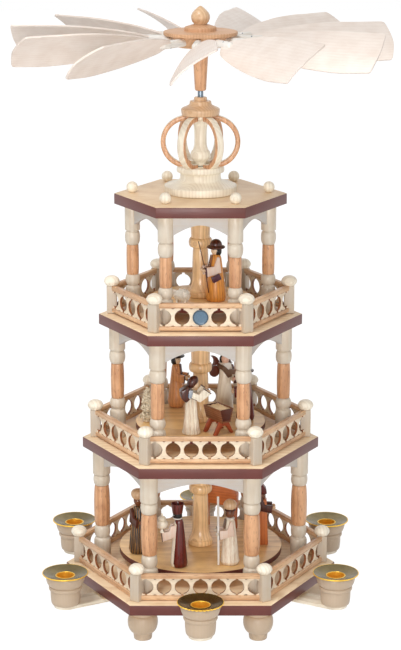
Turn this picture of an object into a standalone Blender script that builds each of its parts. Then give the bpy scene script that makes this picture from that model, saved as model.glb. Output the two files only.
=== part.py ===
"""A three-storey wooden candle carousel: hexagonal decks on turned columns and a bladed wheel over candles."""
import math

import bmesh
import bpy
from mathutils import Matrix, Vector

# Everything is in metres, +Z up, and the front faces -Y. The origin is on the wheel's axis, on the ground.
SIDE_COUNT = 6
SEAT_GAP = 0.0003
JOIN_DEPTH = 0.0005
MERGE_DISTANCE = 0.00003
FLAT_ANGLE = math.radians(0.1)
SHARP_ANGLE = math.radians(35)
TURNED_SIDES = 12

# Decks: six-sided boards with a painted edge and a bevelled rim
BASE_CORNER_RADIUS = 0.1412
MIDDLE_CORNER_RADIUS = 0.1223
UPPER_CORNER_RADIUS = 0.1040
ROOF_CORNER_RADIUS = 0.0871
DECK_EDGE_HEIGHT = 0.0104
DECK_BEVEL_RISE = 0.0014
DECK_BEVEL_RUN = 0.0036
DECK_BORE_RADIUS = 0.0060
LOWER_STOREY_HEIGHT = 0.1262
MIDDLE_STOREY_HEIGHT = 0.1198
UPPER_STOREY_HEIGHT = 0.1132

# Bun feet under the base board
FOOT_SIDES = 10
FOOT_HEIGHT = 0.0325
FOOT_CORNER_INSET = 0.0247
FOOT_TOP_RADIUS = 0.0115
FOOT_BULB_RADIUS = 0.0153
FOOT_BULB_DEPTH = 0.0170
FOOT_BULB_STEPS = 3
FOOT_NECK_RADIUS = 0.0096
FOOT_NECK_HEIGHT = 0.0070
FOOT_PAD_RADIUS = 0.0088

# Candle holders: an arm under the base, a turned cup and a brass drip tray with its socket
ARM_WIDTH = 0.0240
ARM_THICKNESS = 0.0034
ARM_INNER_RADIUS = 0.0800
ARM_END_SEGMENTS = 6
ARM_PAD_LENGTH = 0.0300
ARM_PAD_HEIGHT = 0.0032
TRAY_CLEARANCE = 0.01277
CUP_SIDES = 10
CUP_HEIGHT = 0.0318
CUP_FOOT_RADIUS = 0.0138
CUP_BODY_RADIUS = 0.0152
CUP_BODY_HEIGHT = 0.0135
CUP_BEAD_RADIUS = 0.0170
CUP_BEAD_HEIGHT = 0.0048
CUP_GROOVE_RADIUS = 0.0155
CUP_BOWL_RADIUS = 0.0203
CUP_BOWL_SHARE = 0.60
CUP_RIM_RADIUS = 0.0192
CUP_BORE_RADIUS = 0.0108
CUP_BORE_DEPTH = 0.0190
TRAY_RADIUS = 0.02345
TRAY_RISE = 0.0036
TRAY_THICKNESS = 0.0008
SOCKET_BORE_RADIUS = 0.00875
SOCKET_DEPTH = 0.0150
SOCKET_LIP_HEIGHT = 0.0007

# Columns between the decks, with the arched boards between their heads
COLUMN_SIDES = 8
LOWER_COLUMN_RADIUS = 0.0091
MIDDLE_COLUMN_RADIUS = 0.0083
UPPER_COLUMN_RADIUS = 0.0077
LOWER_COLUMN_INSET = 0.0382
MIDDLE_COLUMN_INSET = 0.0368
UPPER_COLUMN_INSET = 0.0352
COLUMN_HEAD_HEIGHT = 0.0262
COLUMN_FOOT_HEIGHT = 0.0270
COLUMN_TOP_BALL_HEIGHT = 0.0145
COLUMN_LOW_BALL_HEIGHT = 0.0125
COLUMN_BALL_STEPS = 3
COLUMN_SHAFT_STEPS = 2
COLUMN_BALL_SHARE = 0.95
COLUMN_NECK_SHARE = 0.70
COLUMN_SHAFT_SHARE = 0.88
COLUMN_SHAFT_END_SHARE = 0.76
APRON_THICKNESS = 0.0040
APRON_MID_DEPTH = 0.0105
APRON_END_DEPTH = 0.0190
APRON_SEGMENTS = 6
APRON_TOP_DROP = 0.0004

# Fence round each storey: posts with mushroom caps, two rails and a lattice of round holes
POST_CORNER_INSET = 0.0137
POST_WIDTH = 0.0104
POST_HEIGHT = 0.0285
POST_CAP_RADIUS = 0.0081
POST_CAP_HEIGHT = 0.0100
POST_CAP_SIDES = 8
POST_CAP_SHARES = ((0, 1), (0.74, 0.82), (1, 0.45))
RAIL_HEIGHT = 0.0048
RAIL_DEPTH = 0.0050
LATTICE_HEIGHT = 0.0176
LATTICE_THICKNESS = 0.0026
LATTICE_PITCH = 0.0183
LATTICE_HOLE_RADIUS = 0.0074
LATTICE_HOLE_SIDES = 8
LATTICE_POST_LAP = 0.0020
RAIL_POST_LAP = 0.0030

# Roof balls, and the crown that carries the shaft's upper bush
ROOF_BALL_RADIUS = 0.0058
ROOF_BALL_CORNER_INSET = 0.0183
CROWN_SIDES = 16
CROWN_FOOT_RADIUS = 0.0364
CROWN_FOOT_EDGE = 0.0078
CROWN_NECK_RADIUS = 0.0207
CROWN_NECK_HEIGHT = 0.0140
CROWN_RING_RADIUS = 0.0238
CROWN_RING_EDGE = 0.0055
CROWN_BASE_HEIGHT = 0.0268
HOOP_OUTER_RADIUS = 0.0265
HOOP_THICKNESS = 0.0050
HOOP_WIDTH = 0.0080
HOOP_REACH = 0.0400
HOOP_ROOT_RADIUS = 0.0118
HOOP_SINK = 0.0020
HOOP_SEGMENTS = 8
SPINDLE_BORE_RADIUS = 0.0034
SPINDLE_RADIUS = 0.0102
SPINDLE_SHARES = ((0.48, 1), (0.48, 0.93), (0.74, 0.84), (0.60, 0.54), (1, 0.17), (0.48, 0.05), (0.48, 0))
CAP_SIDES = 16
CAP_RADIUS = 0.0195
CAP_EDGE_HEIGHT = 0.0068
CAP_CROWN_HEIGHT = 0.0074
CAP_CROWN_SHARES = ((0.56, 1), (0.56, 0.55), (0.78, 0.25), (1, 0))
CAP_BUTTON_RADIUS = 0.0066
CAP_BUTTON_HEIGHT = 0.0038

# Rotor: a steel shaft on a point bearing, three turntables, and a column on each
SHAFT_RADIUS = 0.0028
SHAFT_TIP_LENGTH = 0.0033
BEARING_RADIUS = 0.0060
BEARING_HEIGHT = 0.0052
BEARING_FLOOR = 0.0018
BEARING_MOUTH_RADIUS = 0.0034
LOWER_TURNTABLE_RADIUS = 0.0850
MIDDLE_TURNTABLE_RADIUS = 0.0670
UPPER_TURNTABLE_RADIUS = 0.0510
LOWER_TURNTABLE_LIFT = 0.0137
MIDDLE_TURNTABLE_LIFT = 0.0114
UPPER_TURNTABLE_LIFT = 0.0113
TURNTABLE_THICKNESS = 0.0060
TURNTABLE_SIDES = 24
HUB_HEADROOM = 0.0040
HUB_FOOT_RADIUS = 0.0131
HUB_FOOT_HEIGHT = 0.0057
HUB_SHAFT_RADIUS = 0.0079
HUB_FLARE_HEIGHT = 0.0150
HUB_FLARE_SHARE = 0.35
HUB_BULGE_RADIUS = 0.0119
HUB_BULGE_HEIGHT = 0.0100
LOWER_BULGE_SHARE = 0.600
MIDDLE_BULGE_SHARE = 0.578
UPPER_BULGE_SHARE = 0.615
HUB_NECK_RADIUS = 0.0094
HUB_NECK_SHARE = 0.80
HUB_TOP_RADIUS = 0.0118

# Wheel: shank, hub disc, knob and blades
SHANK_BOTTOM_RADIUS = 0.0056
SHANK_TOP_RADIUS = 0.0081
SHANK_LENGTH = 0.0434
SHANK_CLEARANCE = 0.0064
WHEEL_SIDES = 22
WHEEL_FOOT_RADIUS = 0.0242
WHEEL_NECK_RADIUS = 0.0315
WHEEL_BODY_HEIGHT = 0.0114
WHEEL_RIM_RADIUS = 0.03675
WHEEL_RIM_HEIGHT = 0.0040
WHEEL_STEP_RADIUS = 0.01595
WHEEL_STEP_HEIGHT = 0.0062
KNOB_RADIUS = 0.0094
KNOB_HEIGHT = 0.0181
KNOB_SHARES = ((0, 1), (0.46, 0.94), (0.84, 0.70), (1, 0.42), (0.88, 0.18), (0.68, 0), (0, 0))
BLADE_COUNT = 11
BLADE_FRONT_OFFSET = math.radians(-4.34)
BLADE_PITCH = math.radians(35.8)
BLADE_INNER_RADIUS = 0.0470
BLADE_TIP_RADIUS = 0.1925
BLADE_TIP_SWEEP = 0.0030
BLADE_TIP_CROWN = 0.0030
BLADE_ROOT_WIDTH = 0.0020
BLADE_HIGH_WIDTH = 0.0300
BLADE_LOW_WIDTH = 0.0235
BLADE_HIGH_POWER = 3.0
BLADE_LOW_POWER = 6.0
BLADE_THICKNESS = 0.0018
BLADE_LOW_CAMBER = 0.0050
BLADE_HIGH_CAMBER = 0.0027
BLADE_DROOP = 0.0040
BLADE_SPAN_SEGMENTS = 6
BLADE_CHORD_SEGMENTS = 4
PEG_RADIUS = 0.0040
PEG_INNER_RADIUS = 0.0200
PEG_OUTER_RADIUS = 0.0640
PEG_SIDES = 8

# Figures on the turntables; the share tables are outlines in parts of a width and a height
FIGURE_SIDES = 8
ROBE_SHARES = ((0, 1), (0.36, 0.98), (0.52, 0.93), (0.86, 0.35), (1, 0.08), (0.90, 0), (0, 0))
HAT_SHARES = ((0, 1), (0.50, 0.85), (0.63, 0.28), (1, 0.10), (0, 0))
FEZ_SHARES = ((0, 1), (1, 1), (0.70, 0), (0, 0))
TURBAN_SHARES = ((0, 1), (0.60, 0.88), (1, 0.48), (0.66, 0.04), (0, 0))
HAIR_SHARES = ((0, 1), (0.72, 0.80), (1, 0.40), (0.90, 0), (0, 0))
HEADGEAR = {
    "hat": (HAT_SHARES, 0.0089, 0.0088),
    "fez": (FEZ_SHARES, 0.0066, 0.0140),
    "turban": (TURBAN_SHARES, 0.0068, 0.0095),
    "hair": (HAIR_SHARES, 0.0054, 0.0070),
}
HEAD_RADIUS = 0.0046
NECK_LAP = 0.0012
HEADGEAR_LAP = 0.0034
SHOULDER_HEIGHT_SHARE = 0.91
SHOULDER_SPREAD_SHARE = 0.52
SLEEVE_REACH = 0.0125
SLEEVE_DROP = 0.0190
SLEEVE_THICKNESS = 0.0030
SLEEVE_SHARES = ((-0.15, 0), (0.15, 0), (0.26, -0.55), (1, -0.64), (1, -1), (-0.25, -0.88))
HAND_DROP_SHARE = 0.82
STAFF_RADIUS = 0.0009
STAFF_SIDES = 5
STAFF_DROP = 0.0020
VESSEL_RADIUS = 0.0056
SHEEP_BODY_RADIUS = 0.0053
SHEEP_BODY_STRETCH = (1.40, 1, 1)
SHEEP_BODY_LIFT = 0.0088
SHEEP_HEAD_RADIUS = 0.0030
SHEEP_HEAD_REACH = 0.0076
SHEEP_HEAD_LIFT = 0.0108
SHEEP_LEG_RADIUS = 0.0012
SHEEP_LEG_REACH = 0.0038
SHEEP_LEG_SPREAD = 0.0021
MANGER_LENGTH = 0.0270
MANGER_TOP_WIDTH = 0.0165
MANGER_FLOOR_WIDTH = 0.0100
MANGER_TROUGH_HEIGHT = 0.0125
MANGER_FLOOR_HEIGHT = 0.0054
MANGER_WALL = 0.0018
MANGER_LEG_HEIGHT = 0.0130
MANGER_LEG_SPREAD = 0.0200
MANGER_LEG_RADIUS = 0.0019
MANGER_LEG_LIFT = 0.0012
MANGER_LEG_REACH = 0.0086
WING_SPAN = 0.0170
WING_HEIGHT = 0.0250
WING_THICKNESS = 0.0024
WING_ROOT_SHARES = (-0.45, 0.66)
WING_SHARES = ((0, 0), (0.70, -0.18), (1, 0.10), (0.98, 0.45), (0.65, 0.82), (0.58, 0.50), (0.42, 0.22))
TREE_HEIGHT = 0.0370
TREE_RADIUS = 0.0072
TREE_SHARES = ((0, 1), (0.58, 0.78), (0.28, 0.78), (0.74, 0.57), (0.34, 0.57), (0.88, 0.35), (0.40, 0.35),
               (1, 0.14), (0.30, 0.14), (0.30, 0.06), (0.62, 0), (0, 0))
CAMEL_HEIGHT = 0.0660
CAMEL_LENGTH = 0.0440
CAMEL_BODY_WIDTH = 0.0100
CAMEL_BODY_SHARES = ((-0.50, 0.46), (-0.50, 0.62), (-0.30, 0.74), (-0.08, 0.90), (0.10, 0.76), (0.26, 0.64),
                     (0.36, 0.92), (0.40, 1), (0.62, 0.94), (0.60, 0.86), (0.50, 0.84), (0.46, 0.56),
                     (0.32, 0.44), (-0.20, 0.40))
CAMEL_LEG_SHARES = (-0.42, 0.30)
CAMEL_LEG_HEIGHT_SHARE = 0.48
CAMEL_LEG_LENGTH = 0.0048
CAMEL_LEG_WIDTH = 0.0036
CAMEL_LEG_INSET = 0.0004

# Height and robe radius of each standing figure
FIGURE_SIZES = {
    "shepherd": (0.0640, 0.0105),
    "robed_woman": (0.0630, 0.0092),
    "herdsman": (0.0622, 0.0092),
    "angel": (0.0690, 0.0095),
    "drover": (0.0600, 0.0088),
    "king_striped": (0.0690, 0.0098),
    "king_dark_red": (0.0675, 0.0082),
    "king_turbaned": (0.0680, 0.0096),
    "king_orange": (0.0670, 0.0088),
}
# Place of each figure along X and Y in parts of its turntable's radius, and the way it faces in degrees
FIGURE_PLACES = {
    "shepherd": (0.305, -0.36, 200),
    "sheep": (-0.37, -0.52, 165),
    "robed_woman": (-0.14, -0.715, 10),
    "manger": (0.27, -0.645, -55),
    "herdsman": (-0.38, 0.72, -20),
    "angel": (0.375, 0.38, -60),
    "drover": (0.69, 0, 180),
    "shaving_tree": (-0.82, -0.09, 0),
    "king_striped": (-0.76, -0.31, -60),
    "king_dark_red": (-0.253, -0.785, 185),
    "king_turbaned": (0.355, -0.695, 190),
    "king_orange": (0.745, 0, 0),
    "camel": (0.22, 0.58, 160),
}

# Angles, heights and places that follow from the sizes above
TURN = 2 * math.pi
HALF_SIDE = math.pi / SIDE_COUNT
DECK_THICKNESS = DECK_EDGE_HEIGHT + DECK_BEVEL_RISE
BASE_TOP = FOOT_HEIGHT + DECK_THICKNESS
MIDDLE_BOTTOM = BASE_TOP + LOWER_STOREY_HEIGHT
MIDDLE_TOP = MIDDLE_BOTTOM + DECK_THICKNESS
UPPER_BOTTOM = MIDDLE_TOP + MIDDLE_STOREY_HEIGHT
UPPER_TOP = UPPER_BOTTOM + DECK_THICKNESS
ROOF_BOTTOM = UPPER_TOP + UPPER_STOREY_HEIGHT
ROOF_TOP = ROOF_BOTTOM + DECK_THICKNESS
CANDLE_RING_RADIUS = BASE_CORNER_RADIUS * math.cos(HALF_SIDE) + TRAY_CLEARANCE + TRAY_RADIUS
ARM_TOP = FOOT_HEIGHT - SEAT_GAP - ARM_PAD_HEIGHT
CUP_BOTTOM = ARM_TOP - JOIN_DEPTH
CUP_TOP = CUP_BOTTOM + CUP_HEIGHT
SOCKET_RADIUS = SOCKET_BORE_RADIUS + TRAY_THICKNESS
TRAY_SLOPE = TRAY_RISE / (TRAY_RADIUS - SOCKET_RADIUS)
CROWN_BOTTOM = ROOF_TOP + SEAT_GAP
CROWN_TOP = CROWN_BOTTOM + CROWN_BASE_HEIGHT
HOOP_MIDDLE = CROWN_TOP - HOOP_SINK + HOOP_OUTER_RADIUS
CAP_BOTTOM = HOOP_MIDDLE + HOOP_OUTER_RADIUS + SEAT_GAP
CAP_EDGE_TOP = CAP_BOTTOM + CAP_EDGE_HEIGHT
CAP_SHOULDER = CAP_EDGE_TOP + CAP_CROWN_HEIGHT
CAP_TOP = CAP_SHOULDER + CAP_BUTTON_HEIGHT
SHANK_BOTTOM = CAP_TOP + SHANK_CLEARANCE
WHEEL_BOTTOM = SHANK_BOTTOM + SHANK_LENGTH + SEAT_GAP
WHEEL_BODY_TOP = WHEEL_BOTTOM + WHEEL_BODY_HEIGHT
WHEEL_RIM_TOP = WHEEL_BODY_TOP + WHEEL_RIM_HEIGHT
WHEEL_TOP = WHEEL_RIM_TOP + WHEEL_STEP_HEIGHT
PEG_BORE_RADIUS = (PEG_RADIUS + SEAT_GAP) / math.cos(math.pi / PEG_SIDES)
BLADE_AXIS_HEIGHT = WHEEL_BODY_TOP - SEAT_GAP - PEG_BORE_RADIUS
SHAFT_BORE_RADIUS = SHAFT_RADIUS + SEAT_GAP
POST_REACH = POST_WIDTH / 2 / math.cos(HALF_SIDE)
CREAM = (0.85, 0.72, 0.52)
BEECH = (0.60, 0.34, 0.16)
EDGE_PAINT = (0.19, 0.07, 0.06)


class Storey:
    """One storey: its deck and clear height, and then the sizes of its columns and of what turns in it."""

    def __init__(self, name, deck_top, clear_height, corner_radius):
        self.name = name
        self.deck_top = deck_top
        self.corner_radius = corner_radius
        self.floor = deck_top + SEAT_GAP
        self.ceiling = deck_top + clear_height - SEAT_GAP
        self.post_ring = corner_radius - POST_CORNER_INSET

    def set_columns(self, inset, radius):
        self.column_ring = self.corner_radius - inset
        self.column_radius = radius

    def set_turntable(self, radius, lift, bulge_share):
        self.table_radius = radius
        self.table_bottom = self.deck_top + lift
        self.table_top = self.table_bottom + TURNTABLE_THICKNESS
        self.bulge_share = bulge_share


LOWER = Storey("lower", BASE_TOP, LOWER_STOREY_HEIGHT, BASE_CORNER_RADIUS)
LOWER.set_columns(LOWER_COLUMN_INSET, LOWER_COLUMN_RADIUS)
LOWER.set_turntable(LOWER_TURNTABLE_RADIUS, LOWER_TURNTABLE_LIFT, LOWER_BULGE_SHARE)
MIDDLE = Storey("middle", MIDDLE_TOP, MIDDLE_STOREY_HEIGHT, MIDDLE_CORNER_RADIUS)
MIDDLE.set_columns(MIDDLE_COLUMN_INSET, MIDDLE_COLUMN_RADIUS)
MIDDLE.set_turntable(MIDDLE_TURNTABLE_RADIUS, MIDDLE_TURNTABLE_LIFT, MIDDLE_BULGE_SHARE)
UPPER = Storey("upper", UPPER_TOP, UPPER_STOREY_HEIGHT, UPPER_CORNER_RADIUS)
UPPER.set_columns(UPPER_COLUMN_INSET, UPPER_COLUMN_RADIUS)
UPPER.set_turntable(UPPER_TURNTABLE_RADIUS, UPPER_TURNTABLE_LIFT, UPPER_BULGE_SHARE)


# Scene and collections
def clear_scene():
    for item in list(bpy.data.objects):
        bpy.data.objects.remove(item, do_unlink=True)


def new_collection(name):
    collection = bpy.data.collections.new(name)
    bpy.context.scene.collection.children.link(collection)
    return collection


def make_material(name, color, roughness=0.5, metallic=0.0):
    material = bpy.data.materials.new(name)
    material.use_nodes = True
    shader = material.node_tree.nodes["Principled BSDF"]
    shader.inputs["Base Color"].default_value = (*color, 1)
    shader.inputs["Roughness"].default_value = roughness
    shader.inputs["Metallic"].default_value = metallic
    return material


def finish_part(name, mesh, material, parts):
    """Put a finished mesh in the part's collection, smooth where it is round."""
    mesh.name = name
    mesh.materials.clear()
    mesh.materials.append(material)
    mesh.shade_smooth()
    mesh.set_sharp_from_angle(angle=SHARP_ANGLE)
    part = bpy.data.objects.new(name, mesh)
    parts.objects.link(part)
    return part


# Shapes
def baked(item):
    """The item's mesh with its modifiers applied; the item itself is removed."""
    graph = bpy.context.evaluated_depsgraph_get()
    mesh = bpy.data.meshes.new_from_object(item.evaluated_get(graph))
    bpy.data.objects.remove(item, do_unlink=True)
    return mesh


def work_object(mesh):
    item = bpy.data.objects.new("work", mesh)
    bpy.context.scene.collection.objects.link(item)
    return item


def tidied(mesh):
    """The mesh with stray points merged and flat neighbouring faces joined."""
    shape = bmesh.new()
    shape.from_mesh(mesh)
    bmesh.ops.remove_doubles(shape, verts=shape.verts, dist=MERGE_DISTANCE)
    bmesh.ops.dissolve_limit(shape, angle_limit=FLAT_ANGLE, verts=shape.verts, edges=shape.edges)
    bmesh.ops.recalc_face_normals(shape, faces=shape.faces)
    shape.to_mesh(mesh)
    shape.free()
    return mesh


def turned(profile, sides, bored=False):
    """A shape turned about Z from (radius, height) points that run down its outer side."""
    mesh = bpy.data.meshes.new("profile")
    edges = [(i, i + 1) for i in range(len(profile) - 1)]
    if bored:
        edges.append((len(profile) - 1, 0))
    mesh.from_pydata([(radius, 0, height) for radius, height in profile], edges, [])
    item = work_object(mesh)
    screw = item.modifiers.new("turn", "SCREW")
    screw.steps = sides
    screw.render_steps = sides
    screw.use_merge_vertices = True
    screw.merge_threshold = MERGE_DISTANCE
    return tidied(baked(item))


def flat_outline(outlines, thickness):
    """A flat board in the XZ plane from closed outlines, the first outside and the others holes."""
    curve = bpy.data.curves.new("outline", "CURVE")
    curve.dimensions = "2D"
    curve.fill_mode = "BOTH"
    curve.extrude = thickness / 2
    for points in outlines:
        spline = curve.splines.new("POLY")
        spline.points.add(len(points) - 1)
        spline.use_cyclic_u = True
        for point, (x, z) in zip(spline.points, points):
            point.co = (x, z, 0, 1)
    mesh = tidied(baked(work_object(curve)))
    mesh.transform(Matrix.Rotation(math.pi / 2, 4, "X"))
    return mesh


def block(length, depth, height, center):
    """A box by its sizes along X, Y and Z and its middle."""
    shape = bmesh.new()
    bmesh.ops.create_cube(shape, size=1)
    bmesh.ops.scale(shape, vec=(length, depth, height), verts=shape.verts)
    bmesh.ops.translate(shape, vec=center, verts=shape.verts)
    mesh = bpy.data.meshes.new("block")
    shape.to_mesh(mesh)
    shape.free()
    return mesh


def ball(radius, center, sides=8, rings=4, stretch=(1, 1, 1)):
    shape = bmesh.new()
    bmesh.ops.create_uvsphere(shape, u_segments=sides, v_segments=rings, radius=radius)
    bmesh.ops.scale(shape, vec=stretch, verts=shape.verts)
    bmesh.ops.translate(shape, vec=center, verts=shape.verts)
    mesh = bpy.data.meshes.new("ball")
    shape.to_mesh(mesh)
    shape.free()
    return mesh


def rod(start, end, radius, sides=6):
    """A round bar between two points."""
    start = Vector(start)
    along = Vector(end) - start
    shape = bmesh.new()
    bmesh.ops.create_cone(shape, cap_ends=True, segments=sides, radius1=radius, radius2=radius,
                          depth=along.length)
    turn = along.to_track_quat("Z", "Y").to_matrix().to_4x4()
    shape.transform(Matrix.Translation(start + along / 2) @ turn)
    mesh = bpy.data.meshes.new("rod")
    shape.to_mesh(mesh)
    shape.free()
    return mesh


def moved(mesh, matrix):
    copy = mesh.copy()
    copy.transform(matrix)
    return copy


def around(mesh, count, offset=0.0):
    """Copies of a mesh turned about Z in equal steps."""
    return [moved(mesh, Matrix.Rotation(offset + TURN * i / count, 4, "Z")) for i in range(count)]


def combined(meshes, operation="UNION", first=None):
    """Join meshes into one solid, or cut them all out of the first one."""
    target = work_object(first or meshes[0])
    operands = bpy.data.collections.new("operands")
    bpy.context.scene.collection.children.link(operands)
    for mesh in meshes if first else meshes[1:]:
        item = bpy.data.objects.new("operand", mesh)
        item.hide_render = True
        item.display_type = "WIRE"
        operands.objects.link(item)
    join = target.modifiers.new("join", "BOOLEAN")
    join.operation = operation
    join.operand_type = "COLLECTION"
    join.collection = operands
    join.solver = "EXACT"
    mesh = baked(target)
    for item in list(operands.objects):
        bpy.data.objects.remove(item, do_unlink=True)
    bpy.data.collections.remove(operands)
    return tidied(mesh)


def bulge(end_radius, mid_radius, top, bottom, steps):
    """Profile points of a rounded swelling, or of a hollow where the middle is thinner."""
    points = []
    for i in range(steps + 1):
        angle = math.pi * i / steps
        radius = end_radius + (mid_radius - end_radius) * math.sin(angle)
        points.append((radius, top + (bottom - top) * (1 - math.cos(angle)) / 2))
    return points


def circle(x, z, radius, sides):
    """Points of a circle in the XZ plane, with flats to the right, left, top and bottom."""
    step = TURN / sides
    angles = [step / 2 + step * i for i in range(sides)]
    return [(x + radius * math.cos(angle), z + radius * math.sin(angle)) for angle in angles]


def scaled(shares, width, height, base=0.0):
    """Outline points from a share table, a width and a height."""
    return [(x * width, base + z * height) for x, z in shares]


# Decks, feet and candle holders
def board_mesh(corner_radius, bottom):
    """A six-sided board with a bevelled upper rim."""
    top = bottom + DECK_THICKNESS
    return turned([(0, top), (corner_radius - DECK_BEVEL_RUN, top), (corner_radius, bottom + DECK_EDGE_HEIGHT),
                   (corner_radius, bottom), (0, bottom)], SIDE_COUNT)


def bored_board_mesh(corner_radius, bottom):
    """A board with a round clearance bore for the shaft."""
    bore = rod((0, 0, bottom - JOIN_DEPTH), (0, 0, bottom + DECK_THICKNESS + JOIN_DEPTH), DECK_BORE_RADIUS,
               TURNED_SIDES)
    return combined([bore], "DIFFERENCE", board_mesh(corner_radius, bottom))


def base_board_mesh():
    """The base board, with its six bun feet glued on."""
    bulb_top = FOOT_NECK_HEIGHT + FOOT_BULB_DEPTH
    profile = [(0, FOOT_HEIGHT + JOIN_DEPTH), (FOOT_TOP_RADIUS, FOOT_HEIGHT + JOIN_DEPTH)]
    profile += bulge(FOOT_TOP_RADIUS, FOOT_BULB_RADIUS, bulb_top, FOOT_NECK_HEIGHT, FOOT_BULB_STEPS)[:-1]
    profile += [(FOOT_NECK_RADIUS, FOOT_NECK_HEIGHT), (FOOT_PAD_RADIUS, 0), (0, 0)]
    foot = turned(profile, FOOT_SIDES)
    foot.transform(Matrix.Translation((BASE_CORNER_RADIUS - FOOT_CORNER_INSET, 0, 0)))
    return combined([board_mesh(BASE_CORNER_RADIUS, FOOT_HEIGHT)] + around(foot, SIDE_COUNT))


def arm_mesh():
    """A flat board with a round outer end, its length along X."""
    half = ARM_WIDTH / 2
    outline = [(ARM_INNER_RADIUS, -half)]
    for i in range(ARM_END_SEGMENTS + 1):
        angle = math.pi * (i / ARM_END_SEGMENTS - 1 / 2)
        outline.append((CANDLE_RING_RADIUS + half * math.cos(angle), half * math.sin(angle)))
    outline.append((ARM_INNER_RADIUS, half))
    arm = flat_outline([outline], ARM_THICKNESS)
    arm.transform(Matrix.Rotation(-math.pi / 2, 4, "X"))
    arm.transform(Matrix.Translation((0, 0, ARM_TOP - ARM_THICKNESS / 2)))
    return arm


def cup_mesh():
    """A turned cup, bored for the socket and dished to the slope of the drip tray."""
    body_top = CUP_BOTTOM + CUP_BODY_HEIGHT
    bead_top = body_top + CUP_BEAD_HEIGHT
    seat = CUP_TOP - TRAY_SLOPE * (CUP_RIM_RADIUS - CUP_BORE_RADIUS)
    floor = CUP_TOP - CUP_BORE_DEPTH
    belly = bead_top + (CUP_TOP - bead_top) * CUP_BOWL_SHARE
    profile = [(0, floor), (CUP_BORE_RADIUS, floor), (CUP_BORE_RADIUS, seat), (CUP_RIM_RADIUS, CUP_TOP),
               (CUP_BOWL_RADIUS, belly), (CUP_GROOVE_RADIUS, bead_top),
               (CUP_BEAD_RADIUS, (bead_top + body_top) / 2), (CUP_GROOVE_RADIUS, body_top),
               (CUP_BODY_RADIUS, (body_top + CUP_BOTTOM) / 2), (CUP_FOOT_RADIUS, CUP_BOTTOM), (0, CUP_BOTTOM)]
    cup = turned(profile, CUP_SIDES)
    cup.transform(Matrix.Translation((CANDLE_RING_RADIUS, 0, 0)))
    return cup


def candle_holder_mesh():
    """An arm, the packing pad that carries it under the base board, and its glued cup."""
    pad_height = ARM_PAD_HEIGHT + JOIN_DEPTH
    center = (ARM_INNER_RADIUS + JOIN_DEPTH + ARM_PAD_LENGTH / 2, 0, ARM_TOP - JOIN_DEPTH + pad_height / 2)
    pad = block(ARM_PAD_LENGTH, ARM_WIDTH - 2 * JOIN_DEPTH, pad_height, center)
    return combined([arm_mesh(), pad, cup_mesh()])


def drip_tray_mesh():
    """A shallow brass dish with a drawn socket for the candle, seated on the cup."""
    bend = CUP_TOP + SEAT_GAP + TRAY_THICKNESS - TRAY_SLOPE * (CUP_RIM_RADIUS - SOCKET_RADIUS)
    rim = bend + TRAY_RISE
    lip = bend + SOCKET_LIP_HEIGHT
    floor = bend - SOCKET_DEPTH
    profile = [(0, floor), (SOCKET_BORE_RADIUS, floor), (SOCKET_BORE_RADIUS, lip), (SOCKET_RADIUS, lip),
               (SOCKET_RADIUS, bend), (TRAY_RADIUS, rim), (TRAY_RADIUS, rim - TRAY_THICKNESS),
               (SOCKET_RADIUS, bend - TRAY_THICKNESS), (SOCKET_RADIUS, floor - TRAY_THICKNESS),
               (0, floor - TRAY_THICKNESS)]
    tray = turned(profile, CUP_SIDES)
    tray.transform(Matrix.Translation((CANDLE_RING_RADIUS, 0, 0)))
    return tray


# Columns and fences
def column_mesh(storey):
    """A turned column: cylinder head, ball, bellied shaft, ball and cylinder foot."""
    head = storey.column_radius
    neck = head * COLUMN_NECK_SHARE
    ball_radius = head * COLUMN_BALL_SHARE
    head_bottom = storey.ceiling - COLUMN_HEAD_HEIGHT
    shaft_top = head_bottom - COLUMN_TOP_BALL_HEIGHT
    foot_top = storey.floor + COLUMN_FOOT_HEIGHT
    shaft_bottom = foot_top + COLUMN_LOW_BALL_HEIGHT
    profile = [(0, storey.ceiling), (head, storey.ceiling), (head, head_bottom)]
    profile += bulge(neck, ball_radius, head_bottom, shaft_top, COLUMN_BALL_STEPS)
    profile += bulge(head * COLUMN_SHAFT_END_SHARE, head * COLUMN_SHAFT_SHARE, shaft_top, shaft_bottom,
                     COLUMN_SHAFT_STEPS)
    profile += bulge(neck, ball_radius, shaft_bottom, foot_top, COLUMN_BALL_STEPS)
    profile += [(ball_radius, foot_top), (ball_radius, storey.floor), (0, storey.floor)]
    column = turned(profile, COLUMN_SIDES)
    column.transform(Matrix.Rotation(math.pi / COLUMN_SIDES, 4, "Z"))
    column.transform(Matrix.Translation((storey.column_ring, 0, 0)))
    return column


def apron_mesh(storey):
    """The arched board between two column heads, on the line between the columns."""
    half = (storey.column_ring - storey.column_radius) / 2
    arch = half - storey.column_radius / 2
    top = storey.ceiling - APRON_TOP_DROP
    bottom = top - APRON_END_DEPTH
    outline = [(-half, top), (-half, bottom)]
    for i in range(APRON_SEGMENTS + 1):
        angle = math.pi * (1 - i / APRON_SEGMENTS)
        rise = (APRON_END_DEPTH - APRON_MID_DEPTH) * math.sin(angle)
        outline.append((arch * math.cos(angle), bottom + rise))
    outline += [(half, bottom), (half, top)]
    apron = flat_outline([outline], APRON_THICKNESS)
    apron.transform(Matrix.Translation((0, -storey.column_ring * math.cos(HALF_SIDE), 0)))
    return apron


def colonnade_mesh(storey):
    return combined(around(column_mesh(storey), SIDE_COUNT) + around(apron_mesh(storey), SIDE_COUNT))


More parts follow.
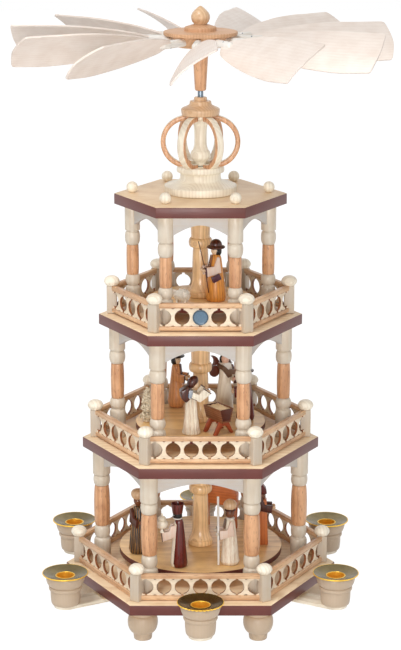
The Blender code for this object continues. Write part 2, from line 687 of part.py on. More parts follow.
def lattice_mesh(storey):
    """The fretted board of a fence panel; its end holes run on into the posts."""
    count = round(storey.post_ring / LATTICE_PITCH)
    pitch = storey.post_ring / count
    half = storey.post_ring / 2 - POST_REACH + LATTICE_POST_LAP
    low = storey.floor + RAIL_HEIGHT - JOIN_DEPTH
    high = storey.floor + RAIL_HEIGHT + LATTICE_HEIGHT + JOIN_DEPTH
    middle = (low + high) / 2
    last = pitch * (count - 1) / 2
    hole = circle(0, middle, LATTICE_HOLE_RADIUS, LATTICE_HOLE_SIDES)
    notch = [(last + x, z) for x, z in hole if last + x < half]
    rising = sorted(notch, key=lambda point: -(math.atan2(point[1] - middle, point[0] - half) % TURN))
    falling = [(-x, z) for x, z in reversed(rising)]
    outline = [(-half, low), (half, low)] + rising + [(half, high), (-half, high)] + falling
    holes = [[(x + pitch * i - last, z) for x, z in hole] for i in range(1, count - 1)]
    return flat_outline([outline] + holes, LATTICE_THICKNESS)


def fence_panel_mesh(storey):
    """Two rails and the lattice between them, on the line between two posts."""
    length = storey.post_ring - 2 * (POST_REACH - RAIL_POST_LAP)
    rail = block(length, RAIL_DEPTH, RAIL_HEIGHT, (0, 0, storey.floor + RAIL_HEIGHT / 2))
    top_rail = moved(rail, Matrix.Translation((0, 0, RAIL_HEIGHT + LATTICE_HEIGHT)))
    panel = combined([rail, top_rail, lattice_mesh(storey)])
    panel.transform(Matrix.Translation((0, -storey.post_ring * math.cos(HALF_SIDE), 0)))
    return panel


def post_mesh(storey):
    """A square post and its mushroom cap."""
    top = storey.floor + POST_HEIGHT
    post = block(POST_WIDTH, POST_WIDTH, POST_HEIGHT, (0, 0, storey.floor + POST_HEIGHT / 2))
    neck = POST_WIDTH / 2 - JOIN_DEPTH
    profile = scaled(POST_CAP_SHARES, POST_CAP_RADIUS, POST_CAP_HEIGHT, top)
    cap = turned(profile + [(neck, top - JOIN_DEPTH), (0, top - JOIN_DEPTH)], POST_CAP_SIDES)
    return moved(combined([post, cap]), Matrix.Translation((storey.post_ring, 0, 0)))


def balustrade_mesh(storey):
    return combined(around(post_mesh(storey), SIDE_COUNT) + around(fence_panel_mesh(storey), SIDE_COUNT))


# Roof and crown
def roof_mesh():
    center = (ROOF_CORNER_RADIUS - ROOF_BALL_CORNER_INSET, 0, ROOF_TOP + ROOF_BALL_RADIUS - JOIN_DEPTH)
    board = bored_board_mesh(ROOF_CORNER_RADIUS, ROOF_BOTTOM)
    return combined([board] + around(ball(ROOF_BALL_RADIUS, center), SIDE_COUNT))


def hoop_mesh():
    """A bent strip let into the crown's ring that bows outwards, in the XZ plane."""
    middle_x = HOOP_REACH - HOOP_OUTER_RADIUS
    opening = math.acos((HOOP_ROOT_RADIUS - middle_x) / (HOOP_OUTER_RADIUS - HOOP_THICKNESS / 2))
    angles = [math.pi * (i / HOOP_SEGMENTS - 1 / 2) for i in range(HOOP_SEGMENTS + 1)]
    angles = [-opening] + angles + [opening]
    outline = []
    for radius, steps in ((HOOP_OUTER_RADIUS, angles), (HOOP_OUTER_RADIUS - HOOP_THICKNESS, reversed(angles))):
        for angle in steps:
            outline.append((middle_x + radius * math.cos(angle), HOOP_MIDDLE + radius * math.sin(angle)))
    return flat_outline([outline], HOOP_WIDTH)


def crown_base_mesh():
    """The turned base of the crown with its six hoops."""
    ring_bottom = CROWN_TOP - CROWN_RING_EDGE
    profile = [(DECK_BORE_RADIUS, CROWN_TOP), (CROWN_RING_RADIUS, CROWN_TOP), (CROWN_RING_RADIUS, ring_bottom),
               (CROWN_NECK_RADIUS, ring_bottom), (CROWN_NECK_RADIUS, CROWN_BOTTOM + CROWN_NECK_HEIGHT),
               (CROWN_FOOT_RADIUS, CROWN_BOTTOM + CROWN_FOOT_EDGE), (CROWN_FOOT_RADIUS, CROWN_BOTTOM),
               (DECK_BORE_RADIUS, CROWN_BOTTOM)]
    return combined([turned(profile, CROWN_SIDES, bored=True)] + around(hoop_mesh(), SIDE_COUNT))


def spindle_mesh():
    bottom = CROWN_TOP + SEAT_GAP
    top = CAP_BOTTOM - SEAT_GAP
    outside = scaled(SPINDLE_SHARES, SPINDLE_RADIUS, top - bottom, bottom)
    return turned([(SPINDLE_BORE_RADIUS, top)] + outside + [(SPINDLE_BORE_RADIUS, bottom)], TURNED_SIDES,
                  bored=True)


def crown_cap_mesh():
    """The crown's turned lid, bored as the shaft's upper bush."""
    profile = [(SHAFT_BORE_RADIUS, CAP_TOP), (CAP_BUTTON_RADIUS, CAP_TOP), (CAP_BUTTON_RADIUS, CAP_SHOULDER)]
    profile += scaled(CAP_CROWN_SHARES, CAP_RADIUS, CAP_CROWN_HEIGHT, CAP_EDGE_TOP)
    profile += [(CAP_RADIUS, CAP_BOTTOM), (SHAFT_BORE_RADIUS, CAP_BOTTOM)]
    return turned(profile, CAP_SIDES, bored=True)


# Rotor
def bearing_mesh():
    bottom = BASE_TOP + SEAT_GAP
    top = bottom + BEARING_HEIGHT
    return turned([(0, bottom + BEARING_FLOOR), (BEARING_MOUTH_RADIUS, top), (BEARING_RADIUS, top),
                   (BEARING_RADIUS, bottom), (0, bottom)], TURNED_SIDES)


def shaft_mesh():
    tip = BASE_TOP + SEAT_GAP + BEARING_FLOOR + JOIN_DEPTH
    profile = [(0, WHEEL_TOP), (SHAFT_RADIUS, WHEEL_TOP), (SHAFT_RADIUS, tip + SHAFT_TIP_LENGTH), (0, tip)]
    return turned(profile, TURNED_SIDES)


def turntable_mesh(storey):
    profile = [(SHAFT_BORE_RADIUS, storey.table_top), (storey.table_radius, storey.table_top),
               (storey.table_radius, storey.table_bottom), (SHAFT_BORE_RADIUS, storey.table_bottom)]
    return turned(profile, TURNTABLE_SIDES, bored=True)


def hub_column_mesh(storey):
    """The turned column that stands on a turntable and reaches up to the next board."""
    bottom = storey.table_top + SEAT_GAP
    top = storey.ceiling - HUB_HEADROOM
    height = top - bottom
    foot_top = bottom + HUB_FOOT_HEIGHT
    flare_radius = HUB_SHAFT_RADIUS + (HUB_FOOT_RADIUS - HUB_SHAFT_RADIUS) * HUB_FLARE_SHARE
    bulge_middle = bottom + height * storey.bulge_share
    bulge_bottom = bulge_middle - HUB_BULGE_HEIGHT / 2
    profile = [(SHAFT_BORE_RADIUS, top), (HUB_TOP_RADIUS, top),
               (HUB_NECK_RADIUS, bottom + height * HUB_NECK_SHARE),
               (HUB_NECK_RADIUS, bulge_middle + HUB_BULGE_HEIGHT / 2), (HUB_BULGE_RADIUS, bulge_middle),
               (HUB_SHAFT_RADIUS, bulge_bottom), (HUB_SHAFT_RADIUS, foot_top + HUB_FLARE_HEIGHT),
               (flare_radius, foot_top + HUB_FLARE_HEIGHT * HUB_FLARE_SHARE), (HUB_FOOT_RADIUS, foot_top),
               (HUB_FOOT_RADIUS, bottom), (SHAFT_BORE_RADIUS, bottom)]
    return turned(profile, TURNED_SIDES, bored=True)


def shank_mesh():
    top = SHANK_BOTTOM + SHANK_LENGTH
    profile = [(SHAFT_BORE_RADIUS, top), (SHANK_TOP_RADIUS, top), (SHANK_BOTTOM_RADIUS, SHANK_BOTTOM),
               (SHAFT_BORE_RADIUS, SHANK_BOTTOM)]
    return turned(profile, TURNED_SIDES, bored=True)


def wheel_hub_mesh():
    """The wheel's disc, with a ring of radial bores that the blade pegs turn in."""
    profile = [(SHAFT_BORE_RADIUS, WHEEL_TOP), (WHEEL_STEP_RADIUS, WHEEL_TOP),
               (WHEEL_STEP_RADIUS, WHEEL_RIM_TOP), (WHEEL_RIM_RADIUS, WHEEL_RIM_TOP),
               (WHEEL_RIM_RADIUS, WHEEL_BODY_TOP),
               (WHEEL_NECK_RADIUS, WHEEL_BODY_TOP), (WHEEL_FOOT_RADIUS, WHEEL_BOTTOM),
               (SHAFT_BORE_RADIUS, WHEEL_BOTTOM)]
    disc = turned(profile, WHEEL_SIDES, bored=True)
    bore = rod((PEG_INNER_RADIUS - SEAT_GAP, 0, BLADE_AXIS_HEIGHT), (WHEEL_RIM_RADIUS, 0, BLADE_AXIS_HEIGHT),
               PEG_BORE_RADIUS, PEG_SIDES)
    return combined(around(bore, BLADE_COUNT, blade_angle(0)), "DIFFERENCE", disc)


def knob_mesh():
    return turned(scaled(KNOB_SHARES, KNOB_RADIUS, KNOB_HEIGHT, WHEEL_TOP + SEAT_GAP), TURNED_SIDES)


# Blades
def blade_angle(index):
    """Direction of a blade's peg; the first points to the front, and they run clockwise from above."""
    return -math.pi / 2 + BLADE_FRONT_OFFSET - TURN * index / BLADE_COUNT


def blade_point(along, across):
    """A point of the blade's middle surface: along 0 at the root to 1 at the tip, across -1 to 1."""
    if across > 0:
        width, power, bow = BLADE_HIGH_WIDTH, BLADE_HIGH_POWER, BLADE_HIGH_CAMBER
    else:
        width, power, bow = BLADE_LOW_WIDTH, BLADE_LOW_POWER, BLADE_LOW_CAMBER
    chord = (BLADE_ROOT_WIDTH + width * (1 - (1 - along) ** power)) * across
    tip = BLADE_TIP_RADIUS - BLADE_TIP_SWEEP * max(across, 0) - BLADE_TIP_CROWN * across ** 2
    radius = BLADE_INNER_RADIUS + (tip - BLADE_INNER_RADIUS) * along
    return Vector((radius, chord, -bow * (chord / width) ** 2 - BLADE_DROOP * along ** 2))


def blade_mesh():
    """A thin bowed vane set in its peg. X runs along the peg, Y to the edge that is set high."""
    shape = bmesh.new()
    bmesh.ops.create_grid(shape, x_segments=BLADE_SPAN_SEGMENTS, y_segments=BLADE_CHORD_SEGMENTS, size=1)
    for vert in shape.verts:
        vert.co = blade_point((vert.co.x + 1) / 2, vert.co.y)
    sheet = bpy.data.meshes.new("sheet")
    shape.to_mesh(sheet)
    shape.free()
    item = work_object(sheet)
    wall = item.modifiers.new("wall", "SOLIDIFY")
    wall.thickness = BLADE_THICKNESS
    wall.offset = 0
    peg = rod((PEG_INNER_RADIUS, 0, 0), (PEG_OUTER_RADIUS, 0, 0), PEG_RADIUS, PEG_SIDES)
    return combined([baked(item), peg])


# Figures
def standing_figure(name, headgear, staff=False, vessel=False):
    """A robed figure that faces +X, its base at the origin."""
    height, robe_radius = FIGURE_SIZES[name]
    gear_shares, gear_radius, gear_height = HEADGEAR[headgear]
    gear_bottom = height - gear_height
    head_bottom = gear_bottom + HEADGEAR_LAP - 2 * HEAD_RADIUS
    robe_top = head_bottom + NECK_LAP
    shoulder = robe_top * SHOULDER_HEIGHT_SHARE
    spread = robe_radius * SHOULDER_SPREAD_SHARE
    pieces = [turned(scaled(ROBE_SHARES, robe_radius, robe_top), FIGURE_SIDES),
              ball(HEAD_RADIUS, (0, 0, head_bottom + HEAD_RADIUS)),
              turned(scaled(gear_shares, gear_radius, gear_height, gear_bottom), FIGURE_SIDES)]
    sleeve = flat_outline([scaled(SLEEVE_SHARES, SLEEVE_REACH, SLEEVE_DROP, shoulder)], SLEEVE_THICKNESS)
    pieces += [moved(sleeve, Matrix.Translation((0, side, 0))) for side in (-spread, spread)]
    if staff:
        x = SLEEVE_REACH - 2 * STAFF_RADIUS
        pieces.append(rod((x, spread, 0), (x, spread, height - STAFF_DROP), STAFF_RADIUS, STAFF_SIDES))
    if vessel:
        pieces.append(ball(VESSEL_RADIUS, (SLEEVE_REACH, 0, shoulder - SLEEVE_DROP * HAND_DROP_SHARE)))
    return combined(pieces)


def sheep_mesh():
    body = ball(SHEEP_BODY_RADIUS, (0, 0, SHEEP_BODY_LIFT), stretch=SHEEP_BODY_STRETCH)
    head = ball(SHEEP_HEAD_RADIUS, (SHEEP_HEAD_REACH, 0, SHEEP_HEAD_LIFT))
    legs = [rod((x, y, 0), (x, y, SHEEP_BODY_LIFT), SHEEP_LEG_RADIUS)
            for x in (-SHEEP_LEG_REACH, SHEEP_LEG_REACH) for y in (-SHEEP_LEG_SPREAD, SHEEP_LEG_SPREAD)]
    return combined([body, head] + legs)


def manger_mesh():
    """A trough with sloping sides on two crossed pairs of legs, its length along X."""
    top = MANGER_LEG_HEIGHT + MANGER_TROUGH_HEIGHT
    half_top, half_floor = MANGER_TOP_WIDTH / 2, MANGER_FLOOR_WIDTH / 2
    inner_top, inner_floor = half_top - MANGER_WALL, half_floor - MANGER_WALL / 2
    floor = MANGER_LEG_HEIGHT + MANGER_FLOOR_HEIGHT
    outside = [(-half_top, top), (-half_floor, MANGER_LEG_HEIGHT), (half_floor, MANGER_LEG_HEIGHT),
               (half_top, top)]
    rim = top + JOIN_DEPTH
    inside = [(inner_top, rim), (inner_floor, floor), (-inner_floor, floor), (-inner_top, rim)]
    hollow = flat_outline([inside], MANGER_LENGTH - 2 * MANGER_WALL)
    trough = combined([hollow], "DIFFERENCE", flat_outline([outside], MANGER_LENGTH))
    pieces = [moved(trough, Matrix.Rotation(math.pi / 2, 4, "Z"))]
    for side in (-1, 1):
        for x in (-MANGER_LEG_REACH, MANGER_LEG_REACH):
            foot = (x, side * MANGER_LEG_SPREAD / 2, MANGER_LEG_LIFT)
            pieces.append(rod(foot, (x, 0, MANGER_LEG_HEIGHT + MANGER_WALL), MANGER_LEG_RADIUS))
    return combined(pieces)


def angel_mesh():
    """A standing figure with two upswept wings behind its shoulders."""
    height, robe_radius = FIGURE_SIZES["angel"]
    back_share, root_share = WING_ROOT_SHARES
    place = Matrix.Translation((robe_radius * back_share, 0, height * root_share))
    pieces = [standing_figure("angel", "hair")]
    for span in (-WING_SPAN, WING_SPAN):
        wing = flat_outline([scaled(WING_SHARES, span, WING_HEIGHT)], WING_THICKNESS)
        pieces.append(moved(wing, place @ Matrix.Rotation(math.pi / 2, 4, "Z")))
    return combined(pieces)


def tree_mesh():
    """A tree of curled shavings, as stacked skirts on a trunk."""
    return turned(scaled(TREE_SHARES, TREE_RADIUS, TREE_HEIGHT), FIGURE_SIDES)


def camel_mesh():
    """A camel cut from board: hump, long neck and four legs; it faces +X."""
    leg_height = CAMEL_HEIGHT * CAMEL_LEG_HEIGHT_SHARE
    spread = CAMEL_BODY_WIDTH / 2 - CAMEL_LEG_WIDTH / 2 - CAMEL_LEG_INSET
    pieces = [flat_outline([scaled(CAMEL_BODY_SHARES, CAMEL_LENGTH, CAMEL_HEIGHT)], CAMEL_BODY_WIDTH)]
    for share in CAMEL_LEG_SHARES:
        for y in (-spread, spread):
            center = (share * CAMEL_LENGTH, y, leg_height / 2)
            pieces.append(block(CAMEL_LEG_LENGTH, CAMEL_LEG_WIDTH, leg_height, center))
    return combined(pieces)


def add_figure(name, storey, mesh, color, parts):
    """Turn a figure the way it faces and stand it on the storey's turntable."""
    x_share, y_share, facing = FIGURE_PLACES[name]
    mesh.transform(Matrix.Rotation(math.radians(facing), 4, "Z"))
    mesh.transform(Matrix.Translation((x_share * storey.table_radius, y_share * storey.table_radius,
                                       storey.table_top + SEAT_GAP)))
    finish_part(name, mesh, make_material(f"{name}_paint", color), parts)


def add_figures(parts):
    add_figure("shepherd", UPPER, standing_figure("shepherd", "hat", staff=True), (0.72, 0.36, 0.10), parts)
    add_figure("sheep", UPPER, sheep_mesh(), (0.86, 0.78, 0.62), parts)
    add_figure("robed_woman", MIDDLE, standing_figure("robed_woman", "hair"), (0.80, 0.62, 0.40), parts)
    add_figure("manger", MIDDLE, manger_mesh(), (0.16, 0.06, 0.03), parts)
    add_figure("herdsman", MIDDLE, standing_figure("herdsman", "hat"), (0.55, 0.27, 0.10), parts)
    add_figure("angel", MIDDLE, angel_mesh(), (0.80, 0.62, 0.40), parts)
    add_figure("drover", MIDDLE, standing_figure("drover", "hat"), (0.22, 0.05, 0.03), parts)
    add_figure("shaving_tree", MIDDLE, tree_mesh(), (0.86, 0.78, 0.62), parts)
    add_figure("king_striped", LOWER, standing_figure("king_striped", "hat"), (0.17, 0.08, 0.03), parts)
    add_figure("king_dark_red", LOWER, standing_figure("king_dark_red", "fez", vessel=True),
               (0.16, 0.02, 0.01), parts)
    add_figure("king_turbaned", LOWER, standing_figure("king_turbaned", "turban", staff=True),
               (0.80, 0.62, 0.40), parts)
    add_figure("king_orange", LOWER, standing_figure("king_orange", "turban"), (0.55, 0.16, 0.06), parts)
    add_figure("camel", LOWER, camel_mesh(), (0.50, 0.20, 0.08), parts)


def add_frame(parts):
    cream = make_material("cream_wood", CREAM)
    paint = make_material("painted_edge", EDGE_PAINT, 0.45)
    beech = make_material("beech_wood", BEECH)
    brass = make_material("brass", (0.45, 0.33, 0.12), 0.2, 1.0)
    finish_part("base_board", base_board_mesh(), paint, parts)
    finish_part("middle_board", bored_board_mesh(MIDDLE_CORNER_RADIUS, MIDDLE_BOTTOM), paint, parts)
    finish_part("upper_board", bored_board_mesh(UPPER_CORNER_RADIUS, UPPER_BOTTOM), paint, parts)
    finish_part("roof_board", roof_mesh(), paint, parts)
    for storey in (LOWER, MIDDLE, UPPER):
        finish_part(f"colonnade_{storey.name}", colonnade_mesh(storey), cream, parts)
        finish_part(f"balustrade_{storey.name}", balustrade_mesh(storey), beech, parts)
    for i, mesh in enumerate(around(candle_holder_mesh(), SIDE_COUNT, HALF_SIDE)):
        finish_part(f"candle_holder_{i + 1}", mesh, cream, parts)
    for i, mesh in enumerate(around(drip_tray_mesh(), SIDE_COUNT, HALF_SIDE)):
        finish_part(f"drip_tray_{i + 1}", mesh, brass, parts)
    finish_part("crown_base", crown_base_mesh(), cream, parts)
    finish_part("crown_spindle", spindle_mesh(), beech, parts)
    finish_part("crown_cap", crown_cap_mesh(), beech, parts)
    finish_part("bearing_cup", bearing_mesh(), brass, parts)


def add_rotor(parts):
    steel = make_material("steel", (0.30, 0.34, 0.38), 0.3, 1.0)
    table = make_material("turntable_wood", (0.75, 0.55, 0.32))
    turned_wood = make_material("hub_wood", (0.78, 0.56, 0.33))
    beech = make_material("shank_beech", BEECH)
    vane = make_material("blade_wood", (0.86, 0.76, 0.66))
    finish_part("rotor_shaft", shaft_mesh(), steel, parts)
    for storey in (LOWER, MIDDLE, UPPER):
        finish_part(f"turntable_{storey.name}", turntable_mesh(storey), table, parts)
        finish_part(f"hub_column_{storey.name}", hub_column_mesh(storey), turned_wood, parts)
    finish_part("wheel_shank", shank_mesh(), beech, parts)
    finish_part("wheel_hub", wheel_hub_mesh(), turned_wood, parts)
    finish_part("wheel_knob", knob_mesh(), turned_wood, parts)
    blade = blade_mesh()
    for i in range(BLADE_COUNT):
        part = finish_part(f"blade_{i + 1:02d}", blade.copy(), vane, parts)
        part.location = (0, 0, BLADE_AXIS_HEIGHT)
        part.rotation_euler = (BLADE_PITCH, 0, blade_angle(i))


def main():
    clear_scene()
    parts = new_collection("candle_carousel")
    add_frame(parts)
    add_rotor(parts)
    add_figures(parts)


main()
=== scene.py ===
"""The looks of a wooden candle carousel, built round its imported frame."""
import math

import bmesh
import bpy
from bpy.props import FloatProperty, FloatVectorProperty, IntProperty, PointerProperty
from bpy.types import NodeSocket, Operator, Panel, PropertyGroup
from mathutils import Matrix, Vector, noise


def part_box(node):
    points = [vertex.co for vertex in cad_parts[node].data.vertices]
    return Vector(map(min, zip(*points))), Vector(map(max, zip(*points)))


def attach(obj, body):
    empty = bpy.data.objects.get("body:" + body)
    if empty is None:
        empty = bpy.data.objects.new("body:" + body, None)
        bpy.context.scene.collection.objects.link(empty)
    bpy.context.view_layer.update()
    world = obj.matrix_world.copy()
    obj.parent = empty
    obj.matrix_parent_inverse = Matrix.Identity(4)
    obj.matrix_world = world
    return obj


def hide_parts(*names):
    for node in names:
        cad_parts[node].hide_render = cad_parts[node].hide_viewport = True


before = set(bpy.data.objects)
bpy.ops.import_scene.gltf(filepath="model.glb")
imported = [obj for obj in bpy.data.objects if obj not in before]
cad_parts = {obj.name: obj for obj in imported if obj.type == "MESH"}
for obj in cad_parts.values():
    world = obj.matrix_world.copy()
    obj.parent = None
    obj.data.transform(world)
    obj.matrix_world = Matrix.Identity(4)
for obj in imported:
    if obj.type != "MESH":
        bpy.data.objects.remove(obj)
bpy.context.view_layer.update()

bl_info = {
    "name": "Candle carousel",
    "version": (1, 0, 0),
    "blender": (4, 5, 0),
    "location": "3D View > Sidebar > Carousel",
    "description": "Builds the looks of a wooden candle carousel round its packed frame",
    "category": "Object",
}

# Everything is in metres, +Z up, and the front faces -Y, as in the frame
SIDES = 6
HALF_SIDE = math.pi / SIDES
TURN = 2 * math.pi
SEAT_GAP = 0.0003
LAP = 0.0005
SHARP_ANGLE = math.radians(34)
SHAFT_RADIUS = 0.0028
BORE_RADIUS = SHAFT_RADIUS + SEAT_GAP


def top_of(node):
    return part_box(node)[1].z


def foot_of(node):
    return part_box(node)[0].z


def srgb(red, green, blue):
    """A colour as a screen shows it, 0 to 255, as the linear numbers that shaders use."""
    shares = (red / 255, green / 255, blue / 255)
    return tuple(s / 12.92 if s <= 0.04045 else ((s + 0.055) / 1.055) ** 2.4 for s in shares)


# Storeys: what the pieces of one storey share
class Storey:
    """One storey. The stack lists the height and radius of its columns' parts from the foot upwards."""

    def __init__(self, name, deck, above, corner, column_ring, stack, post_ring, table_radius):
        self.name = name
        self.floor = deck + SEAT_GAP
        self.ceiling = foot_of(above) - SEAT_GAP
        self.corner = corner
        self.column_ring = column_ring
        self.stack = stack
        self.post_ring = post_ring
        self.panel_reach = post_ring * math.cos(HALF_SIDE)
        self.table_radius = table_radius
        self.table_bottom = foot_of(f"turntable_{name}")
        self.table_top = top_of(f"turntable_{name}")


LOWER_STACK = {"foot": (0.0271, 0.00875), "low_ball": (0.0136, 0.0082), "shaft": (0.0435, 0.0084, 0.00695),
               "top_ball": (0.0129, 0.00855), "head": (0.0273, 0.0091)}
MIDDLE_STACK = {"foot": (0.0297, 0.0082), "low_ball": (0.0116, 0.0081), "shaft": (0.0368, 0.0069, 0.0062),
                "top_ball": (0.0148, 0.0082), "head": (0.0249, 0.0083)}
UPPER_STACK = {"foot": (0.0289, 0.0076), "low_ball": (0.0118, 0.0075), "shaft": (0.0305, 0.00635, 0.0059),
               "top_ball": (0.0152, 0.0076), "head": (0.0257, 0.0077)}
LOWER = Storey("lower", top_of("base_board"), "middle_board", 0.1412, 0.1030, LOWER_STACK, 0.1275, 0.0850)
MIDDLE = Storey("middle", top_of("middle_board"), "upper_board", 0.1223, 0.0855, MIDDLE_STACK, 0.1086, 0.0670)
UPPER = Storey("upper", top_of("upper_board"), "roof_board", 0.1040, 0.0688, UPPER_STACK, 0.0903, 0.0510)
STOREYS = (LOWER, MIDDLE, UPPER)
ROOF_CORNER = 0.0871
ROOF_BOTTOM = foot_of("roof_board")
ROOF_TOP = foot_of("crown_base") - SEAT_GAP


# Sizes and colours that a user may change
def size(name, description, default):
    return FloatProperty(name=name, description=description, default=default, unit="LENGTH", precision=5)


def tint(name, description, red, green, blue):
    return FloatVectorProperty(name=name, description=description, default=srgb(red, green, blue), size=3,
                               subtype="COLOR", min=0, max=1)


def count(name, description, default):
    return IntProperty(name=name, description=description, default=default, min=3)


class BoardSizes(PropertyGroup):
    edge_height: size("Painted edge", "Height of the painted edge of a deck", 0.0104)
    bevel_run: size("Bevel", "How far the bevelled rim of a deck runs inwards", 0.0036)
    soft_edge: size("Soft edge", "Rounding of a board's edges", 0.0004)
    apron_thickness: size("Apron thickness", "Thickness of the arched boards under a deck", 0.0040)
    apron_middle: size("Apron middle", "Depth of an arched board at its middle", 0.0108)
    apron_end: size("Apron end", "Depth of an arched board at its ends", 0.0192)


class FenceSizes(PropertyGroup):
    post_width: size("Post width", "Width of a square fence post", 0.0103)
    post_height: size("Post height", "Height of a post under its cap", 0.0285)
    cap_radius: size("Cap radius", "Radius of a post's mushroom cap", 0.0081)
    cap_height: size("Cap height", "Height of a post's mushroom cap", 0.0102)
    rail_depth: size("Rail depth", "Depth of a fence rail", 0.0050)
    fret_thickness: size("Fret thickness", "Thickness of the fretted board", 0.0024)
    hole_radius: size("Hole radius", "Radius of the round holes in the fretted board", 0.0075)
    hole_pitch: size("Hole pitch", "Usual distance between two holes", 0.0183)
    medallion_radius: size("Medallion radius", "Radius of the blue disc on the front fence", 0.0078)


class HolderSizes(PropertyGroup):
    ring_radius: size("Candle circle", "Radius of the circle on which the candles stand", 0.1585)
    arm_width: size("Arm width", "Width of a candle arm", 0.0240)
    arm_thickness: size("Arm thickness", "Thickness of a candle arm", 0.0034)
    tray_radius: size("Tray radius", "Radius of a brass drip tray", 0.02345)
    tray_rise: size("Tray rise", "How far the tray's rim stands above its socket", 0.0036)
    tray_thickness: size("Tray sheet", "Thickness of the brass sheet", 0.0008)
    socket_radius: size("Socket bore", "Radius of the bore for the candle", 0.00875)


class CrownSizes(PropertyGroup):
    ball_radius: size("Ball radius", "Radius of a ball on the roof", 0.0058)
    hoop_radius: size("Hoop radius", "Outer radius of a bent hoop", 0.0265)
    hoop_reach: size("Hoop reach", "How far a hoop reaches from the axis", 0.0399)
    hoop_thickness: size("Hoop thickness", "Thickness of a bent hoop", 0.0050)
    hoop_width: size("Hoop width", "Width of a bent hoop", 0.0080)


class WheelSizes(PropertyGroup):
    blade_count: count("Blades", "Number of blades on the wheel", 11)
    blade_thickness: size("Blade thickness", "Thickness of a blade", 0.0018)
    peg_radius: size("Peg radius", "Radius of the round peg that carries a blade", 0.0040)
    pin_radius: size("Pin radius", "Radius of the pin through a blade's peg", 0.0007)
    disc_radius: size("Disc radius", "Radius of the wheel's disc", 0.03675)


class FinishColours(PropertyGroup):
    cream: tint("Cream wood", "Pale lacquered wood", 220, 208, 190)
    cream_dark: tint("Cream grain", "The grain of the pale wood", 196, 172, 142)
    board: tint("Deck wood", "Lacquered wood of the decks", 252, 226, 190)
    board_dark: tint("Deck grain", "The grain of the decks", 216, 176, 130)
    beech: tint("Beech", "Lacquered beech", 226, 174, 130)
    beech_dark: tint("Beech grain", "The grain of the beech", 158, 96, 56)
    pale_beech: tint("Pale beech", "Beech of the fence rails", 228, 188, 146)
    crown: tint("Crown wood", "Pale wood of the crown and the roof balls", 255, 246, 226)
    post: tint("Post wood", "Grey-white wood of the fence posts", 200, 186, 168)
    hub: tint("Hub wood", "Turned wood of the hub columns", 255, 214, 158)
    table: tint("Turntable wood", "Pale wood of the turntables", 252, 210, 144)
    disc: tint("Wheel wood", "Turned wood of the wheel's disc", 220, 174, 136)
    cup: tint("Cup wood", "Pale wood of the cups and feet", 200, 178, 154)
    apron: tint("Apron wood", "Pale grey-white wood of the arched boards", 204, 199, 194)
    fleece: tint("Fleece", "The sheep's white curls", 255, 250, 240)
    trough: tint("Trough", "Brown wood of the manger", 146, 88, 54)
    rust: tint("Rust", "Rust-brown wood of the manger's legs", 176, 78, 38)
    wing: tint("Wing", "Red-brown wood of the wings", 104, 52, 36)
    gold_wood: tint("Gold stripe", "Golden stripes of the striped robe", 190, 132, 62)
    white: tint("White wood", "Bleached wood of the aprons", 240, 236, 230)
    fret: tint("Fret wood", "Pale wood of the fretted boards", 240, 222, 196)
    blade: tint("Blade wood", "Thin wood of the blades", 242, 230, 220)
    blade_dark: tint("Blade grain", "The grain of the blades", 216, 194, 178)
    light: tint("Light wood", "Turned light wood of hubs and turntables", 226, 190, 150)
    light_dark: tint("Light grain", "The grain of the light wood", 186, 138, 96)
    maroon: tint("Edge paint", "Paint on the decks' edges", 106, 50, 42)
    # The drip trays are one brass sheet: the darkened brass stands in for its dark reflections as a painted reflection,
    # and the bright brass on its socket and rim is a painted highlight
    brass: tint("Brass", "Darkened brass of the drip trays", 118, 104, 72)
    gold: tint("Bright brass", "Bright brass of sockets and rims", 250, 200, 74)
    steel: tint("Steel", "The shaft and the pins", 120, 132, 142)
    medallion: tint("Medallion", "The plain blue disc", 86, 120, 146)
    ochre: tint("Ochre", "Ochre stained wood", 236, 160, 70)
    ochre_dark: tint("Ochre grain", "The grain of the ochre stained wood", 172, 96, 30)
    orange: tint("Orange", "Orange stained wood", 222, 130, 72)
    orange_dark: tint("Orange grain", "The grain of the orange stained wood", 150, 64, 32)
    orange_beech: tint("Orange beech", "Beech with an orange lacquer", 226, 158, 100)
    red: tint("Dark red", "Dark red stained wood", 108, 24, 8)
    dark: tint("Dark brown", "Dark brown stained wood", 88, 38, 22)
    black: tint("Hair", "Nearly black hair and hats", 26, 14, 10)
    umber: tint("Umber", "Grey-brown stained wood", 132, 98, 74)
    skin: tint("Skin", "Faces and hands of pale wood", 236, 204, 168)
    rosy: tint("Rosy skin", "The winged figure's face", 232, 186, 164)
    rose: tint("Rose wood", "Sleeves of pinkish wood", 236, 214, 198)
    brown_skin: tint("Brown skin", "Faces of brown wood", 126, 74, 46)
    shaving: tint("Shavings", "Curled pale shavings", 246, 234, 208)
    straw: tint("Straw", "Straw in the manger", 252, 230, 190)
    plum: tint("Plum", "The plum coloured bag and cuffs", 84, 44, 58)
    scarf: tint("Scarf", "Blue stripes of the scarf", 96, 122, 150)


class StageSettings(PropertyGroup):
    key_power: FloatProperty(name="Key light", description="Power of the key light in watts", default=20.0, min=0)
    front_power: FloatProperty(name="Front light", description="Power of the low front light in watts", default=13.0, min=0)
    fill_power: FloatProperty(name="Fill light", description="Power of the fill light in watts", default=3.4, min=0)
    sky_strength: FloatProperty(name="Sky", description="Strength of the even light", default=0.42, min=0)
    camera_distance: size("Camera distance", "Distance of the camera in front of the axis", 2.06)
    camera_height: size("Camera height", "Height of the camera above the floor", 0.8324)


GROUPS = {"boards": BoardSizes, "fences": FenceSizes, "holders": HolderSizes, "crown": CrownSizes,
          "wheel": WheelSizes, "colours": FinishColours, "stage": StageSettings}


def settings(group):
    return getattr(bpy.context.scene, f"carousel_{group}")


